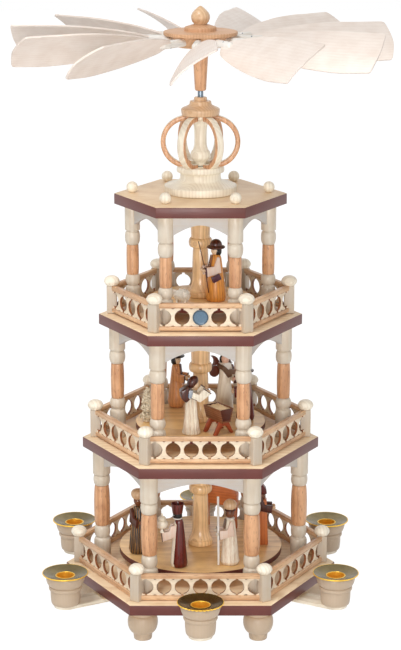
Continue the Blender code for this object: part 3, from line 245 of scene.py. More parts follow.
# Nodes: materials and Geometry Nodes trees are both written with these
class Signal:
    """A number socket. Arithmetic on it adds Math nodes."""

    def __init__(self, nodes, socket):
        self.nodes = nodes
        self.socket = socket

    def __add__(self, other):
        return self.nodes.math("ADD", self, other)

    def __sub__(self, other):
        return self.nodes.math("SUBTRACT", self, other)

    def __rsub__(self, other):
        return self.nodes.math("SUBTRACT", other, self)

    def __mul__(self, other):
        return self.nodes.math("MULTIPLY", self, other)

    def __truediv__(self, other):
        return self.nodes.math("DIVIDE", self, other)

    def __rtruediv__(self, other):
        return self.nodes.math("DIVIDE", other, self)

    def __pow__(self, other):
        return self.nodes.math("POWER", self, other)

    __radd__ = __add__
    __rmul__ = __mul__


class Nodes:
    """Adds and links the nodes of one tree."""

    def __init__(self, tree):
        self.tree = tree

    def add(self, kind, settings=None, inputs=None):
        """A node of a kind: its settings first, then the values or links of its sockets."""
        node = self.tree.nodes.new(kind)
        for key, value in (settings or {}).items():
            if key == "stops":
                fill_ramp(node.color_ramp, value)
            else:
                setattr(node, key, value)
        for key, value in (inputs or {}).items():
            value = value.socket if isinstance(value, Signal) else value
            if isinstance(value, NodeSocket):
                self.tree.links.new(value, node.inputs[key])
            else:
                node.inputs[key].default_value = value
        return node

    def math(self, operation, *values):
        node = self.add("ShaderNodeMath", {"operation": operation}, dict(enumerate(values)))
        return Signal(self, node.outputs[0])

    def clamped(self, value, low=0.0, high=1.0):
        return self.math("MINIMUM", self.math("MAXIMUM", value, low), high)

    def spread(self, value, low, high):
        """The value's share of the way from low to high, eased at both ends."""
        node = self.add("ShaderNodeMapRange", {"interpolation_type": "SMOOTHSTEP"},
                        {"Value": value, "From Min": low, "From Max": high})
        return Signal(self, node.outputs["Result"])

    def vector(self, operation, *values):
        node = self.add("ShaderNodeVectorMath", {"operation": operation}, dict(enumerate(values)))
        return node.outputs[0]

    def split(self, vector):
        node = self.add("ShaderNodeSeparateXYZ", None, {0: vector})
        return [Signal(self, socket) for socket in node.outputs]

    def joined(self, x=0.0, y=0.0, z=0.0):
        return self.add("ShaderNodeCombineXYZ", None, {0: x, 1: y, 2: z}).outputs[0]


def fill_ramp(ramp, stops):
    while len(ramp.elements) < len(stops):
        ramp.elements.new(0.5)
    for element, (position, color) in zip(ramp.elements, stops):
        element.position = position
        element.color = (*color, 1)


class Finish(Nodes):
    """A material in the making."""

    def __init__(self, name, constants):
        self.material = bpy.data.materials.new(name)
        self.material.use_nodes = True
        super().__init__(self.material.node_tree)
        self.shader = self.tree.nodes["Principled BSDF"]
        for key, value in constants.items():
            self.shader.inputs[key].default_value = value

    def noise(self, vector, scale, detail=2.0, distortion=0.0):
        node = self.add("ShaderNodeTexNoise", None, {"Vector": vector, "Scale": scale, "Detail": detail,
                                                     "Distortion": distortion})
        return Signal(self, node.outputs["Fac"])

    def mix(self, factor, first, second):
        node = self.add("ShaderNodeMix", {"data_type": "RGBA"}, {"Factor": factor, "A": as_color(first),
                                                                 "B": as_color(second)})
        return node.outputs["Result"]

    def show(self, color=None, roughness=None, height=None, depth=0.00005):
        """Link what varies over the surface to the shader."""
        if color is not None:
            self.tree.links.new(color, self.shader.inputs["Base Color"])
        if roughness is not None:
            self.tree.links.new(roughness.socket, self.shader.inputs["Roughness"])
        if height is not None:
            bump = self.add("ShaderNodeBump", None, {"Strength": 1.0, "Distance": depth, "Height": height})
            self.tree.links.new(bump.outputs[0], self.shader.inputs["Normal"])
        return self.material


def as_color(value):
    return value if isinstance(value, NodeSocket) else (*value, 1)


# Finishes
FINISHES = {}


def wood(name, pale, dark, ring_width=0.0045, rings=0.35, fibres=0.35, flecks=0.0, roughness=0.42, coat=0.25,
         ribs=0.0):
    """Turned or sawn wood. The grain attribute holds each point's place in its own blank, fibres along Z."""
    made = Finish(name, {"Coat Weight": coat, "Coat Roughness": 0.22, "Specular IOR Level": 0.35})
    grain = made.add("ShaderNodeAttribute", {"attribute_name": "grain"}).outputs["Vector"]
    along = made.vector("MULTIPLY", grain, (1.0, 1.0, 0.06))
    drift = made.noise(made.vector("MULTIPLY", grain, (1.0, 1.0, 0.22)), 34, 2)
    x, y = made.split(along)[:2]
    pith = made.math("SQRT", (x + 0.021) ** 2.0 + (y + 0.034) ** 2.0)
    phase = made.math("FRACT", pith / ring_width + drift * 1.9)
    ring = made.spread(phase, 0.15, 0.95) * (1 - made.spread(phase, 0.95, 1.0))
    fibre = made.noise(along, 1500, 3)
    cloud = made.noise(grain, 60, 3)
    fleck = made.spread(made.noise(made.vector("MULTIPLY", grain, (1.0, 1.0, 0.14)), 1150, 1), 0.62, 0.72)
    tone = made.clamped(ring * rings + (fibre - 0.4) * fibres + (cloud - 0.42) * 0.9)
    color = made.mix(tone, pale, dark)
    if flecks:
        color = made.mix(fleck * flecks, color, [c * 0.42 for c in dark])
    shine = made.clamped(fibre * 0.18 + cloud * 0.12 + (roughness - 0.15))
    height = fibre * 0.6 + ring * 0.25 - fleck * min(1.0, flecks * 1.5)
    if ribs:
        height = height + ribs * made.noise(made.vector("MULTIPLY", grain, (1.0, 1.0, 0.02)), 900, 2)
    FINISHES[name] = made.show(color, shine, height, 0.00006)


def paint(name, color, roughness=0.4):
    """Paint on a wooden edge, with the wood's fibres just showing through and paler rubbed places."""
    made = Finish(name, {"Coat Weight": 0.15, "Coat Roughness": 0.3, "Specular IOR Level": 0.4})
    grain = made.add("ShaderNodeAttribute", {"attribute_name": "grain"}).outputs["Vector"]
    fibre = made.noise(made.vector("MULTIPLY", grain, (1.0, 1.0, 0.05)), 1200, 3)
    cloud = made.noise(grain, 45, 3)
    tone = made.clamped((fibre - 0.35) * 0.5 + (cloud - 0.4) * 1.1)
    tinted = made.mix(tone, color, [c * 0.62 for c in color])
    rubbed = made.spread(made.noise(grain, 420, 4), 0.66, 0.78)
    shine = made.clamped(fibre * 0.2 + roughness - 0.1)
    FINISHES[name] = made.show(made.mix(rubbed * 0.25, tinted, [min(1.0, c * 1.9) for c in color]), shine, fibre)


def metal(name, color, roughness, stain, streaks=(1.0, 1.0, 1.0), metallic=1.0):
    """Drawn or ground metal, a little stained."""
    made = Finish(name, {"Metallic": metallic})
    place = made.add("ShaderNodeAttribute", {"attribute_name": "grain"}).outputs["Vector"]
    lines = made.noise(made.vector("MULTIPLY", place, streaks), 900, 3)
    cloud = made.noise(place, 150, 3)
    tinted = made.mix(made.clamped((cloud - 0.4) * stain * 3.0), color, [c * 0.55 for c in color])
    shine = made.clamped(lines * 0.12 + cloud * stain * 0.25 + roughness - 0.06)
    FINISHES[name] = made.show(tinted, shine, lines, 0.000012)


def glaze(name, color, roughness=0.18):
    """Smooth coloured enamel with a slight mottle."""
    made = Finish(name, {"Coat Weight": 0.6, "Coat Roughness": 0.1})
    place = made.add("ShaderNodeAttribute", {"attribute_name": "grain"}).outputs["Vector"]
    cloud = made.noise(place, 700, 4)
    shine = made.clamped(cloud * 0.1 + roughness - 0.05)
    FINISHES[name] = made.show(made.mix(cloud, color, [c * 0.6 for c in color]), shine, cloud)


# Each wood: its pale colour, the colour of its grain or a share of the pale one, the strength of its rings
# and fibres, the width of a ring in millimetres, its roughness and its coat
WOODS = {
    "cream_wood": ("cream", "cream_dark", 0.22, 0.30, 4.5, 0.38, 0.35),
    "board_wood": ("board", "board_dark", 0.35, 0.60, 3.5, 0.50, 0.10),
    "white_wood": ("white", "cream_dark", 0.10, 0.32, 4.5, 0.50, 0.10),
    "fret_wood": ("fret", "cream_dark", 0.15, 0.35, 4.5, 0.50, 0.10),
    "burnt_wood": ("beech_dark", 0.35, 0.40, 0.60, 4.5, 0.42, 0.25),
    "peg_wood": ("white", "cream", 0.30, 0.40, 4.5, 0.45, 0.25),
    "beech_wood": ("beech", "beech_dark", 0.35, 0.50, 4.5, 0.40, 0.25),
    "pale_beech": ("pale_beech", "beech_dark", 0.30, 0.45, 4.5, 0.45, 0.25),
    "light_wood": ("light", "light_dark", 0.35, 0.40, 3.0, 0.36, 0.40),
    "blade_wood": ("blade", "blade_dark", 0.12, 0.45, 2.2, 0.50, 0.10),
    "crown_wood": ("crown", "cream_dark", 0.22, 0.35, 3.5, 0.40, 0.30),
    "post_wood": ("post", "cream_dark", 0.20, 0.45, 3.0, 0.45, 0.15),
    "arm_wood": ("crown", "cream_dark", 0.30, 0.60, 4.5, 0.55, 0.10),
    "ochre_wood": ("ochre", "ochre_dark", 0.45, 0.70, 3.0, 0.42, 0.25),
    "orange_wood": ("orange", "orange_dark", 0.25, 0.60, 3.5, 0.42, 0.25),
    "orange_beech": ("orange_beech", "beech_dark", 0.35, 0.60, 3.5, 0.42, 0.25),
    "red_wood": ("red", 0.40, 0.40, 0.80, 4.5, 0.42, 0.25),
    "red_gloss": ("red", 0.30, 0.50, 0.90, 4.5, 0.30, 0.45),
    "dark_wood": ("dark", 0.35, 0.50, 0.90, 4.5, 0.42, 0.25),
    "dark_gloss": ("dark", 0.25, 0.50, 1.00, 4.5, 0.30, 0.35),
    "black_gloss": ("black", 0.40, 0.35, 0.35, 4.5, 0.28, 0.10),
    "umber_wood": ("umber", 0.45, 0.50, 0.80, 4.5, 0.42, 0.25),
    "skin_wood": ("skin", "light_dark", 0.15, 0.30, 4.5, 0.42, 0.25),
    "rosy_wood": ("rosy", "light_dark", 0.15, 0.30, 4.5, 0.42, 0.25),
    "rose_wood": ("rose", "beech", 0.20, 0.35, 4.5, 0.42, 0.25),
    "brown_skin": ("brown_skin", 0.45, 0.30, 0.60, 4.5, 0.42, 0.25),
    "cream_gloss": ("crown", "cream_dark", 0.20, 0.20, 4.5, 0.28, 0.80),
    "shaving_wood": ("shaving", "cream_dark", 0.10, 0.30, 4.5, 0.60, 0.00),
    "straw_wood": ("straw", "light_dark", 0.30, 0.80, 4.5, 0.60, 0.00),
    "ribbed_wood": ("crown", "light_dark", 0.30, 0.90, 4.5, 0.45, 0.25),
    "fleece_wood": ("fleece", "cream", 0.00, 0.20, 4.5, 0.70, 0.00),
    "trough_wood": ("trough", 0.40, 0.60, 0.90, 2.5, 0.42, 0.25),
    "rust_wood": ("rust", 0.40, 0.40, 0.80, 4.5, 0.42, 0.25),
    "wing_wood": ("wing", 0.35, 0.40, 0.80, 4.5, 0.30, 0.60),
    "hub_wood": ("hub", "light_dark", 0.35, 0.40, 3.5, 0.32, 0.60),
    "table_wood": ("table", "light_dark", 0.30, 0.50, 4.0, 0.40, 0.30),
    "disc_wood": ("disc", "light_dark", 0.40, 0.50, 3.0, 0.55, 0.05),
    "cup_wood": ("cup", "cream_dark", 0.25, 0.50, 3.0, 0.45, 0.20),
    "apron_wood": ("apron", "cup", 0.10, 0.50, 4.5, 0.55, 0.05),
}
FLECKS = {"beech_wood": 0.5, "pale_beech": 0.35, "orange_beech": 0.3}
RIBS = {"arm_wood": 2.5}


def make_finishes():
    c = settings("colours")
    for name, (pale, grain, rings, fibres, ring_width, roughness, coat) in WOODS.items():
        pale = getattr(c, pale)
        dark = getattr(c, grain) if isinstance(grain, str) else [s * grain for s in pale]
        wood(name, pale, dark, ring_width / 1000, rings, fibres, FLECKS.get(name, 0), roughness, coat, RIBS.get(name, 0))
    paint("edge_paint", c.maroon)
    paint("plum_paint", c.plum)
    # Darkened tray brass: a painted dark reflection. Bright brass: the bearing's own colour, and a painted highlight on
    # the trays' sockets and rims
    metal("tray_brass", c.brass, 0.16, 0.5)
    metal("bright_brass", c.gold, 0.3, 0.2, metallic=0.6)
    metal("steel", c.steel, 0.3, 0.3, (1.0, 1.0, 0.05))
    glaze("blue_glaze", c.medallion)
    glaze("blue_rim", [s * 0.45 for s in c.medallion])
    stripes("scarf_paint", c.scarf, c.white, 0.0014, 0.5)
    stripes("striped_wood", c.black, c.gold_wood, 0.0027, 0.66)


def stripes(name, dark, pale, width, share):
    """Wood with uneven lengthwise stripes in two colours."""
    made = Finish(name, {"Coat Weight": 0.3, "Coat Roughness": 0.25})
    grain = made.add("ShaderNodeAttribute", {"attribute_name": "grain"}).outputs["Vector"]
    x, y = made.split(grain)[:2]
    wave = made.noise(made.vector("MULTIPLY", grain, (1.0, 1.0, 0.12)), 260, 2)
    phase = made.math("FRACT", (x * 0.8 + y) / width + wave * 1.4)
    fibre = made.noise(made.vector("MULTIPLY", grain, (1.0, 1.0, 0.05)), 1500, 3)
    band = made.spread(phase, share, share + 0.12) * (1 - made.spread(phase, 0.90, 1.0))
    toned = made.mix(made.clamped((fibre - 0.4) * 1.4), pale, [c * 0.6 for c in pale])
    FINISHES[name] = made.show(made.mix(1 - band, toned, dark), made.clamped(fibre * 0.2 + 0.28), fibre)


# Shapes
def mark_grain(mesh, along="Z", shift=(0, 0, 0)):
    """Store each point's place in its own blank, with the fibres along the named axis turned to Z."""
    order = {"X": (2, 1, 0), "Y": (0, 2, 1), "Z": (0, 1, 2)}[along]
    layer = mesh.attributes.get("grain") or mesh.attributes.new("grain", "FLOAT_VECTOR", "POINT")
    for vert, entry in zip(mesh.vertices, layer.data):
        entry.vector = [vert.co[i] + s for i, s in zip(order, shift)]
    return mesh


def mark_accent(mesh, test):
    """Store which faces take the second finish, by a test of each face's middle and normal."""
    layer = mesh.attributes.get("accent") or mesh.attributes.new("accent", "BOOLEAN", "FACE")
    for face, entry in zip(mesh.polygons, layer.data):
        entry.value = bool(test(face.center, face.normal))
    return mesh


def as_mesh(shape, name="shape"):
    mesh = bpy.data.meshes.new(name)
    shape.to_mesh(mesh)
    shape.free()
    return mesh


def softened(points, radius, steps=3):
    """The profile with its corners rounded off."""
    made = [points[0]]
    for before, corner, after in zip(points, points[1:], points[2:]):
        corner = Vector(corner)
        back, ahead = Vector(before) - corner, Vector(after) - corner
        reach = min(radius, back.length * 0.45, ahead.length * 0.45)
        if reach < SEAT_GAP / 10 or back.angle(ahead) > math.pi - 0.35:
            made.append(tuple(corner))
            continue
        start, end = corner + back.normalized() * reach, corner + ahead.normalized() * reach
        for i in range(steps + 1):
            t = i / steps
            made.append(tuple(start * (1 - t) ** 2 + corner * 2 * t * (1 - t) + end * t * t))
    return made + [points[-1]]


def swell(start, end, bow, steps=8):
    """Profile points from start to end that bow outwards, or inwards where bow is negative."""
    points = []
    for i in range(steps + 1):
        t = i / steps
        points.append((start[0] + (end[0] - start[0]) * t + bow * math.sin(math.pi * t),
                       start[1] + (end[1] - start[1]) * (1 - math.cos(math.pi * t)) / 2))
    return points


def lathe(profile, sides=32, bored=False, ribs=0, rib_depth=0.0, ribs_from=0.0):
    """A shape turned about Z from (radius, height) points that run down its outer side, ribbed if asked."""
    shape = bmesh.new()
    rings = []
    for radius, height in profile:
        if radius < 1e-7:
            rings.append([shape.verts.new((0, 0, height))])
            continue
        row = []
        for i in range(sides):
            angle = TURN * i / sides
            reach = radius - (rib_depth * (1 - abs(math.cos(angle * ribs / 2))) if radius > ribs_from else 0)
            row.append(shape.verts.new((reach * math.cos(angle), reach * math.sin(angle), height)))
        rings.append(row)
    pairs = list(zip(rings, rings[1:]))
    if bored:
        pairs.append((rings[-1], rings[0]))
    for upper, lower in pairs:
        for i in range(sides):
            j = (i + 1) % sides
            corners = [upper[i % len(upper)], lower[i % len(lower)], lower[j % len(lower)], upper[j % len(upper)]]
            unique = list(dict.fromkeys(corners))
            if len(unique) > 2:
                shape.faces.new(unique)
    bmesh.ops.recalc_face_normals(shape, faces=shape.faces)
    return mark_grain(as_mesh(shape))


def board(outline, thickness):
    """A flat board in the YZ plane from an outline of (y, z) points, its thickness along X."""
    shape = bmesh.new()
    front = [shape.verts.new((thickness / 2, y, z)) for y, z in outline]
    back = [shape.verts.new((-thickness / 2, y, z)) for y, z in outline]
    shape.faces.new(front)
    shape.faces.new(list(reversed(back)))
    for i in range(len(outline)):
        j = (i + 1) % len(outline)
        shape.faces.new((front[i], back[i], back[j], front[j]))
    bmesh.ops.recalc_face_normals(shape, faces=shape.faces)
    return as_mesh(shape)


def block(length, depth, height, center=(0, 0, 0)):
    shape = bmesh.new()
    bmesh.ops.create_cube(shape, size=1)
    bmesh.ops.scale(shape, vec=(length, depth, height), verts=shape.verts)
    bmesh.ops.translate(shape, vec=center, verts=shape.verts)
    return as_mesh(shape)


def ball(radius, center=(0, 0, 0), stretch=(1, 1, 1), sides=32, rings=20):
    shape = bmesh.new()
    bmesh.ops.create_uvsphere(shape, u_segments=sides, v_segments=rings, radius=radius)
    bmesh.ops.scale(shape, vec=stretch, verts=shape.verts)
    bmesh.ops.translate(shape, vec=center, verts=shape.verts)
    return as_mesh(shape)


def moved(mesh, matrix):
    copy = mesh.copy()
    copy.transform(matrix)
    return copy


def shaped(mesh, *modifiers):
    """The mesh with modifiers applied; each is its type and its settings."""
    item = bpy.data.objects.new("work", mesh)
    bpy.context.scene.collection.objects.link(item)
    for kind, values in modifiers:
        modifier = item.modifiers.new(kind.lower(), kind)
        for key, value in values.items():
            setattr(modifier, key, value)
    return baked(item)


def baked(item):
    graph = bpy.context.evaluated_depsgraph_get()
    mesh = bpy.data.meshes.new_from_object(item.evaluated_get(graph))
    bpy.data.objects.remove(item, do_unlink=True)
    return mesh


def soft_edges(mesh, width, segments=2):
    return shaped(mesh, ("BEVEL", {"width": width, "segments": segments, "limit_method": "ANGLE",
                                   "angle_limit": SHARP_ANGLE, "use_clamp_overlap": True}))


def combined(meshes):
    """One mesh of several, which keep their attributes and materials."""
    items = [bpy.data.objects.new("part", mesh) for mesh in meshes]
    for item in items:
        bpy.context.scene.collection.objects.link(item)
    with bpy.context.temp_override(active_object=items[0], object=items[0], selected_objects=items,
                                   selected_editable_objects=items):
        bpy.ops.object.join()
    mesh = items[0].data
    bpy.data.objects.remove(items[0], do_unlink=True)
    return mesh


def finished(mesh, finish, accent=None):
    """The mesh with its finish, and a second one on the faces that are marked for it."""
    mesh.materials.clear()
    mesh.materials.append(FINISHES[finish])
    if accent:
        mesh.materials.append(FINISHES[accent])
        for face, entry in zip(mesh.polygons, mesh.attributes["accent"].data):
            face.material_index = int(entry.value)
    return mesh


def piece(name, mesh, body, slot, *nodes):
    """A finished piece that rides on its body and stands for the nodes that it names."""
    for spare in ("shift", "accent"):
        if spare in mesh.attributes:
            mesh.attributes.remove(mesh.attributes[spare])
    mesh.name = name
    mesh.shade_smooth()
    mesh.set_sharp_from_angle(angle=SHARP_ANGLE)
    item = bpy.data.objects.new(name, mesh)
    bpy.context.scene.collection.objects.link(item)
    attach(item, body)
    if nodes:
        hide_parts(*nodes)
    return item


# Geometry Nodes trees
class Recipe(Nodes):
    """A Geometry Nodes tree with named inputs."""

    def __init__(self, name, inputs):
        super().__init__(bpy.data.node_groups.new(name, "GeometryNodeTree"))
        face = self.tree.interface
        face.new_socket("Geometry", in_out="INPUT", socket_type="NodeSocketGeometry")
        for label, (kind, value) in inputs.items():
            socket = face.new_socket(label, in_out="INPUT", socket_type=f"NodeSocket{kind}")
            if value is not None:
                socket.default_value = value
        face.new_socket("Geometry", in_out="OUTPUT", socket_type="NodeSocketGeometry")
        given = self.tree.nodes.new("NodeGroupInput")
        self.given = {socket.name: socket for socket in given.outputs}

    def number(self, label):
        return Signal(self, self.given[label])

    def named(self, label, kind="FLOAT_VECTOR"):
        return self.add("GeometryNodeInputNamedAttribute", {"data_type": kind}, {"Name": label}).outputs["Attribute"]

    def end(self, geometry, finish="Finish", accent=None, chosen=None):
        """Realize the copies, set the finishes and close the tree."""
        solid = self.add("GeometryNodeRealizeInstances", None, {"Geometry": geometry}).outputs[0]
        if chosen == "shift":
            solid = self.stored(solid, "grain", self.vector("ADD", self.named("grain"), self.named("shift")))
            chosen = None
        painted = self.add("GeometryNodeSetMaterial", None, {"Geometry": solid, "Material": self.given[finish]})
        if accent:
            picked = chosen or self.named("accent", "BOOLEAN")
            painted = self.add("GeometryNodeSetMaterial", None, {"Geometry": painted.outputs[0], "Selection": picked,
                                                                 "Material": self.given[accent]})
        result = self.tree.nodes.new("NodeGroupOutput")
        self.tree.links.new(painted.outputs[0], result.inputs[0])
        return self.tree

    def stored(self, geometry, label, value, domain="POINT", kind="FLOAT_VECTOR"):
        node = self.add("GeometryNodeStoreNamedAttribute", {"data_type": kind, "domain": domain},
                        {"Geometry": geometry, "Name": label, "Value": value})
        return node.outputs[0]


RECIPES = {}


def ring_recipe():
    """Copies of a shape round the axis, each from its own part of the wood."""
    made = Recipe("ring_of_copies", {"Count": ("Int", 6), "Radius": ("Float", 0.1), "First Angle": ("Float", 0.0),
                                     "Seed": ("Int", 1), "Finish": ("Material", None),
                                     "Accent Finish": ("Material", None)})
    index = Signal(made, made.add("GeometryNodeInputIndex").outputs[0])
    angle = index * (TURN / made.number("Count")) + made.number("First Angle")
    radius = made.number("Radius")
    place = made.joined(made.math("COSINE", angle) * radius, made.math("SINE", angle) * radius)
    points = made.add("GeometryNodePoints", None, {"Count": made.given["Count"], "Position": place}).outputs[0]
    copies = made.add("GeometryNodeInstanceOnPoints", None, {
        "Points": points, "Instance": made.given["Geometry"], "Rotation": made.joined(z=angle)}).outputs[0]
    random = made.add("FunctionNodeRandomValue", {"data_type": "FLOAT_VECTOR"},
                      {"Min": (-0.5, -0.5, -0.5), "Max": (0.5, 0.5, 0.5), "Seed": made.given["Seed"]})
    copies = made.stored(copies, "shift", random.outputs[0], "INSTANCE")
    RECIPES["ring"] = made.end(copies, accent="Accent Finish", chosen="shift")


def fret_recipe():
    """A board pierced by a row of round holes with small slots and notches above and below them."""
    made = Recipe("fretted_board", {"Length": ("Float", 0.1), "Height": ("Float", 0.0176),
                                    "Thickness": ("Float", 0.0024), "Holes": ("Int", 5), "Pitch": ("Float", 0.0183),
                                    "Hole Radius": ("Float", 0.0075), "Slot Width": ("Float", 0.0028),
                                    "Notch Radius": ("Float", 0.0024), "Finish": ("Material", None),
                                    "Back Finish": ("Material", None)})
    length, height, thickness = made.number("Length"), made.number("Height"), made.number("Thickness")
    pitch, holes = made.number("Pitch"), made.number("Holes")
    plank = made.add("GeometryNodeMeshCube", None, {"Size": made.joined(thickness, length, height)}).outputs[0]
    turned = made.joined(y=TURN / 4)

    def row(number, shape, offset):
        """Copies of a cutter in a row along Y at a height."""
        start = made.joined(0.0, (1 - number) * pitch / 2, offset)
        line = made.add("GeometryNodeMeshLine", {"mode": "OFFSET", "count_mode": "TOTAL"}, {
            "Count": number, "Start Location": start, "Offset": made.joined(0.0, pitch)}).outputs[0]
        return made.add("GeometryNodeInstanceOnPoints", None, {"Points": line, "Instance": shape}).outputs[0]

    def cutter(radius, sides, squeeze=1.0):
        drum = made.add("GeometryNodeMeshCylinder", {"fill_type": "NGON"}, {
            "Vertices": sides, "Radius": radius, "Depth": thickness * 3}).outputs[0]
        return made.add("GeometryNodeTransform", None, {"Geometry": drum, "Rotation": turned,
                                                        "Scale": (squeeze, 1.0, 1.0)}).outputs[0]

    slot = made.add("GeometryNodeMeshCube", None, {
        "Size": made.joined(thickness * 3, made.number("Slot Width"), height * 1.2)}).outputs[0]
    notch = cutter(made.number("Notch Radius"), 20)
    cutters = [row(holes, cutter(made.number("Hole Radius"), 40), 0.0), row(holes, slot, 0.0)]
    for side in (-1, 1):
        cutters.append(row(holes + 1, notch, height * (side * 0.565)))
    gathered = made.add("GeometryNodeJoinGeometry")
    for cut in cutters:
        made.tree.links.new(cut, gathered.inputs[0])
    solid = made.add("GeometryNodeRealizeInstances", None, {"Geometry": gathered.outputs[0]}).outputs[0]
    pierced = made.add("GeometryNodeMeshBoolean", {"operation": "DIFFERENCE", "solver": "EXACT"}, {
        "Mesh 1": plank, "Mesh 2": solid, "Self Intersection": True}).outputs[0]
    position = made.add("GeometryNodeInputPosition").outputs[0]
    x, y, z = made.split(position)
    marked = made.stored(pierced, "grain", made.joined(x, z, y))
    normal = made.split(made.add("GeometryNodeInputNormal").outputs[0])[0]
    inner = made.math("LESS_THAN", made.math("ABSOLUTE", normal), 0.5)
    marked = made.stored(marked, "accent", inner.socket, "FACE", "BOOLEAN")
    RECIPES["fret"] = made.end(marked, accent="Back Finish", chosen=made.named("accent", "BOOLEAN"))


def vane_recipe():
    """A blade set on the wheel: pitched about its peg, then turned to its place."""
    made = Recipe("vane_on_wheel", {"Pitch": ("Float", 0.6), "Angle": ("Float", 0.0), "Axis Height": ("Float", 0.59),
                                    "Shift": ("Vector", (0, 0, 0)), "Finish": ("Material", None),
                                    "Accent Finish": ("Material", None)})
    shifted = made.stored(made.given["Geometry"], "grain",
                          made.vector("ADD", made.named("grain"), made.given["Shift"]))
    pitched = made.add("GeometryNodeTransform", None, {
        "Geometry": shifted, "Rotation": made.joined(x=made.number("Pitch"))}).outputs[0]
    placed = made.add("GeometryNodeTransform", None, {
        "Geometry": pitched, "Rotation": made.joined(z=made.number("Angle")),
        "Translation": made.joined(z=made.number("Axis Height"))}).outputs[0]
    RECIPES["vane"] = made.end(placed, accent="Accent Finish")


def strewn(made, shape, tilt):
    """Copies of a shape strewn over the given surface, each turned at random up to a tilt."""
    spots = made.add("GeometryNodeDistributePointsOnFaces", {"distribute_method": "RANDOM"}, {
        "Mesh": made.given["Geometry"], "Density": made.given["Density"], "Seed": made.given["Seed"]})
    random = made.add("FunctionNodeRandomValue", {"data_type": "FLOAT_VECTOR"}, {
        "Min": tuple(-t for t in tilt), "Max": tilt, "Seed": made.given["Seed"]}).outputs[0]
    turned = made.add("FunctionNodeRotateRotation", {"rotation_space": "LOCAL"}, {
        "Rotation": spots.outputs["Rotation"], "Rotate By": random}).outputs[0]
    copies = made.add("GeometryNodeInstanceOnPoints", None, {
        "Points": spots.outputs["Points"], "Instance": shape, "Rotation": turned}).outputs[0]
    solid = made.add("GeometryNodeRealizeInstances", None, {"Geometry": copies}).outputs[0]
    return made.stored(solid, "grain", made.add("GeometryNodeInputPosition").outputs[0])


def curl_recipe():
    """Little curled shavings strewn over a surface."""
    made = Recipe("strewn_curls", {"Density": ("Float", 200000.0), "Curl Size": ("Float", 0.0015),
                                   "Curl Width": ("Float", 0.001), "Seed": ("Int", 1), "Finish": ("Material", None)})
    curl = made.add("GeometryNodeCurveSpiral", None, {
        "Resolution": 9, "Rotations": 1.15, "Start Radius": made.number("Curl Size") * 0.45,
        "End Radius": made.given["Curl Size"], "Height": made.number("Curl Size") * 0.2}).outputs[0]
    strip = made.add("GeometryNodeCurvePrimitiveQuadrilateral", None, {
        "Width": 0.00022, "Height": made.given["Curl Width"]}).outputs[0]
    ribbon = made.add("GeometryNodeCurveToMesh", None, {
        "Curve": curl, "Profile Curve": strip, "Fill Caps": True}).outputs[0]
    RECIPES["curls"] = made.end(strewn(made, ribbon, (1.3, 1.3, math.pi)))


def straw_recipe():
    """Thin stalks strewn over a surface, lying nearly flat."""
    made = Recipe("strewn_stalks", {"Density": ("Float", 150000.0), "Length": ("Float", 0.008),
                                    "Radius": ("Float", 0.0003), "Seed": ("Int", 1), "Finish": ("Material", None)})
    stalk = made.add("GeometryNodeMeshCylinder", {"fill_type": "NGON"}, {
        "Vertices": 5, "Radius": made.given["Radius"], "Depth": made.given["Length"]}).outputs[0]
    lying = made.add("GeometryNodeTransform", None, {"Geometry": stalk, "Rotation": (TURN / 4, 0.0, 0.0)}).outputs[0]
    RECIPES["straws"] = made.end(strewn(made, lying, (0.35, 0.35, math.pi)))


def grown(mesh, recipe, values):
    """What a recipe makes of a mesh, as a plain mesh."""
    item = bpy.data.objects.new("work", mesh)
    bpy.context.scene.collection.objects.link(item)
    modifier = item.modifiers.new("nodes", "NODES")
    modifier.node_group = RECIPES[recipe]
    for socket in RECIPES[recipe].interface.items_tree:
        if socket.in_out == "INPUT" and socket.name in values:
            modifier[socket.identifier] = values[socket.name]
    return baked(item)


def ring(mesh, radius, finish, accent=None, first=0.0, number=SIDES, seed=1):
    """Copies of a mesh, whose X points outwards, in a ring round the axis."""
    return grown(mesh, "ring", {"Count": number, "Radius": radius, "First Angle": first, "Seed": seed,
                                "Finish": FINISHES[finish], "Accent Finish": FINISHES[accent or finish]})


class BuildStep(Operator):
    """One step of building the carousel."""

    bl_options = {"REGISTER", "UNDO"}

    def execute(self, context):
        self.build()
        return {"FINISHED"}


# Decks and feet
BEVEL_HEIGHT = 0.0014
DECK_BORE = 0.0060
BORE_FACETS = 4


def deck(corner, bottom, top, bored):
    """A six-sided board with a bevelled rim, its painted edge marked."""
    sizes = settings("boards")
    edge_top = bottom + sizes.edge_height
    rim = [(corner - sizes.bevel_run, top), (corner, edge_top), (corner, bottom)]
    mesh = bored_board(rim) if bored else lathe([(0, top), *rim, (0, bottom)], SIDES)
    mesh = soft_edges(mesh, sizes.soft_edge)
    mark_grain(mesh, "X", (corner, bottom, 0))
    limit = edge_top + sizes.soft_edge / 2
    return mark_accent(mesh, lambda middle, normal: abs(normal.z) < 0.8 and middle.z < limit
                       and middle.xy.length > corner / 2)


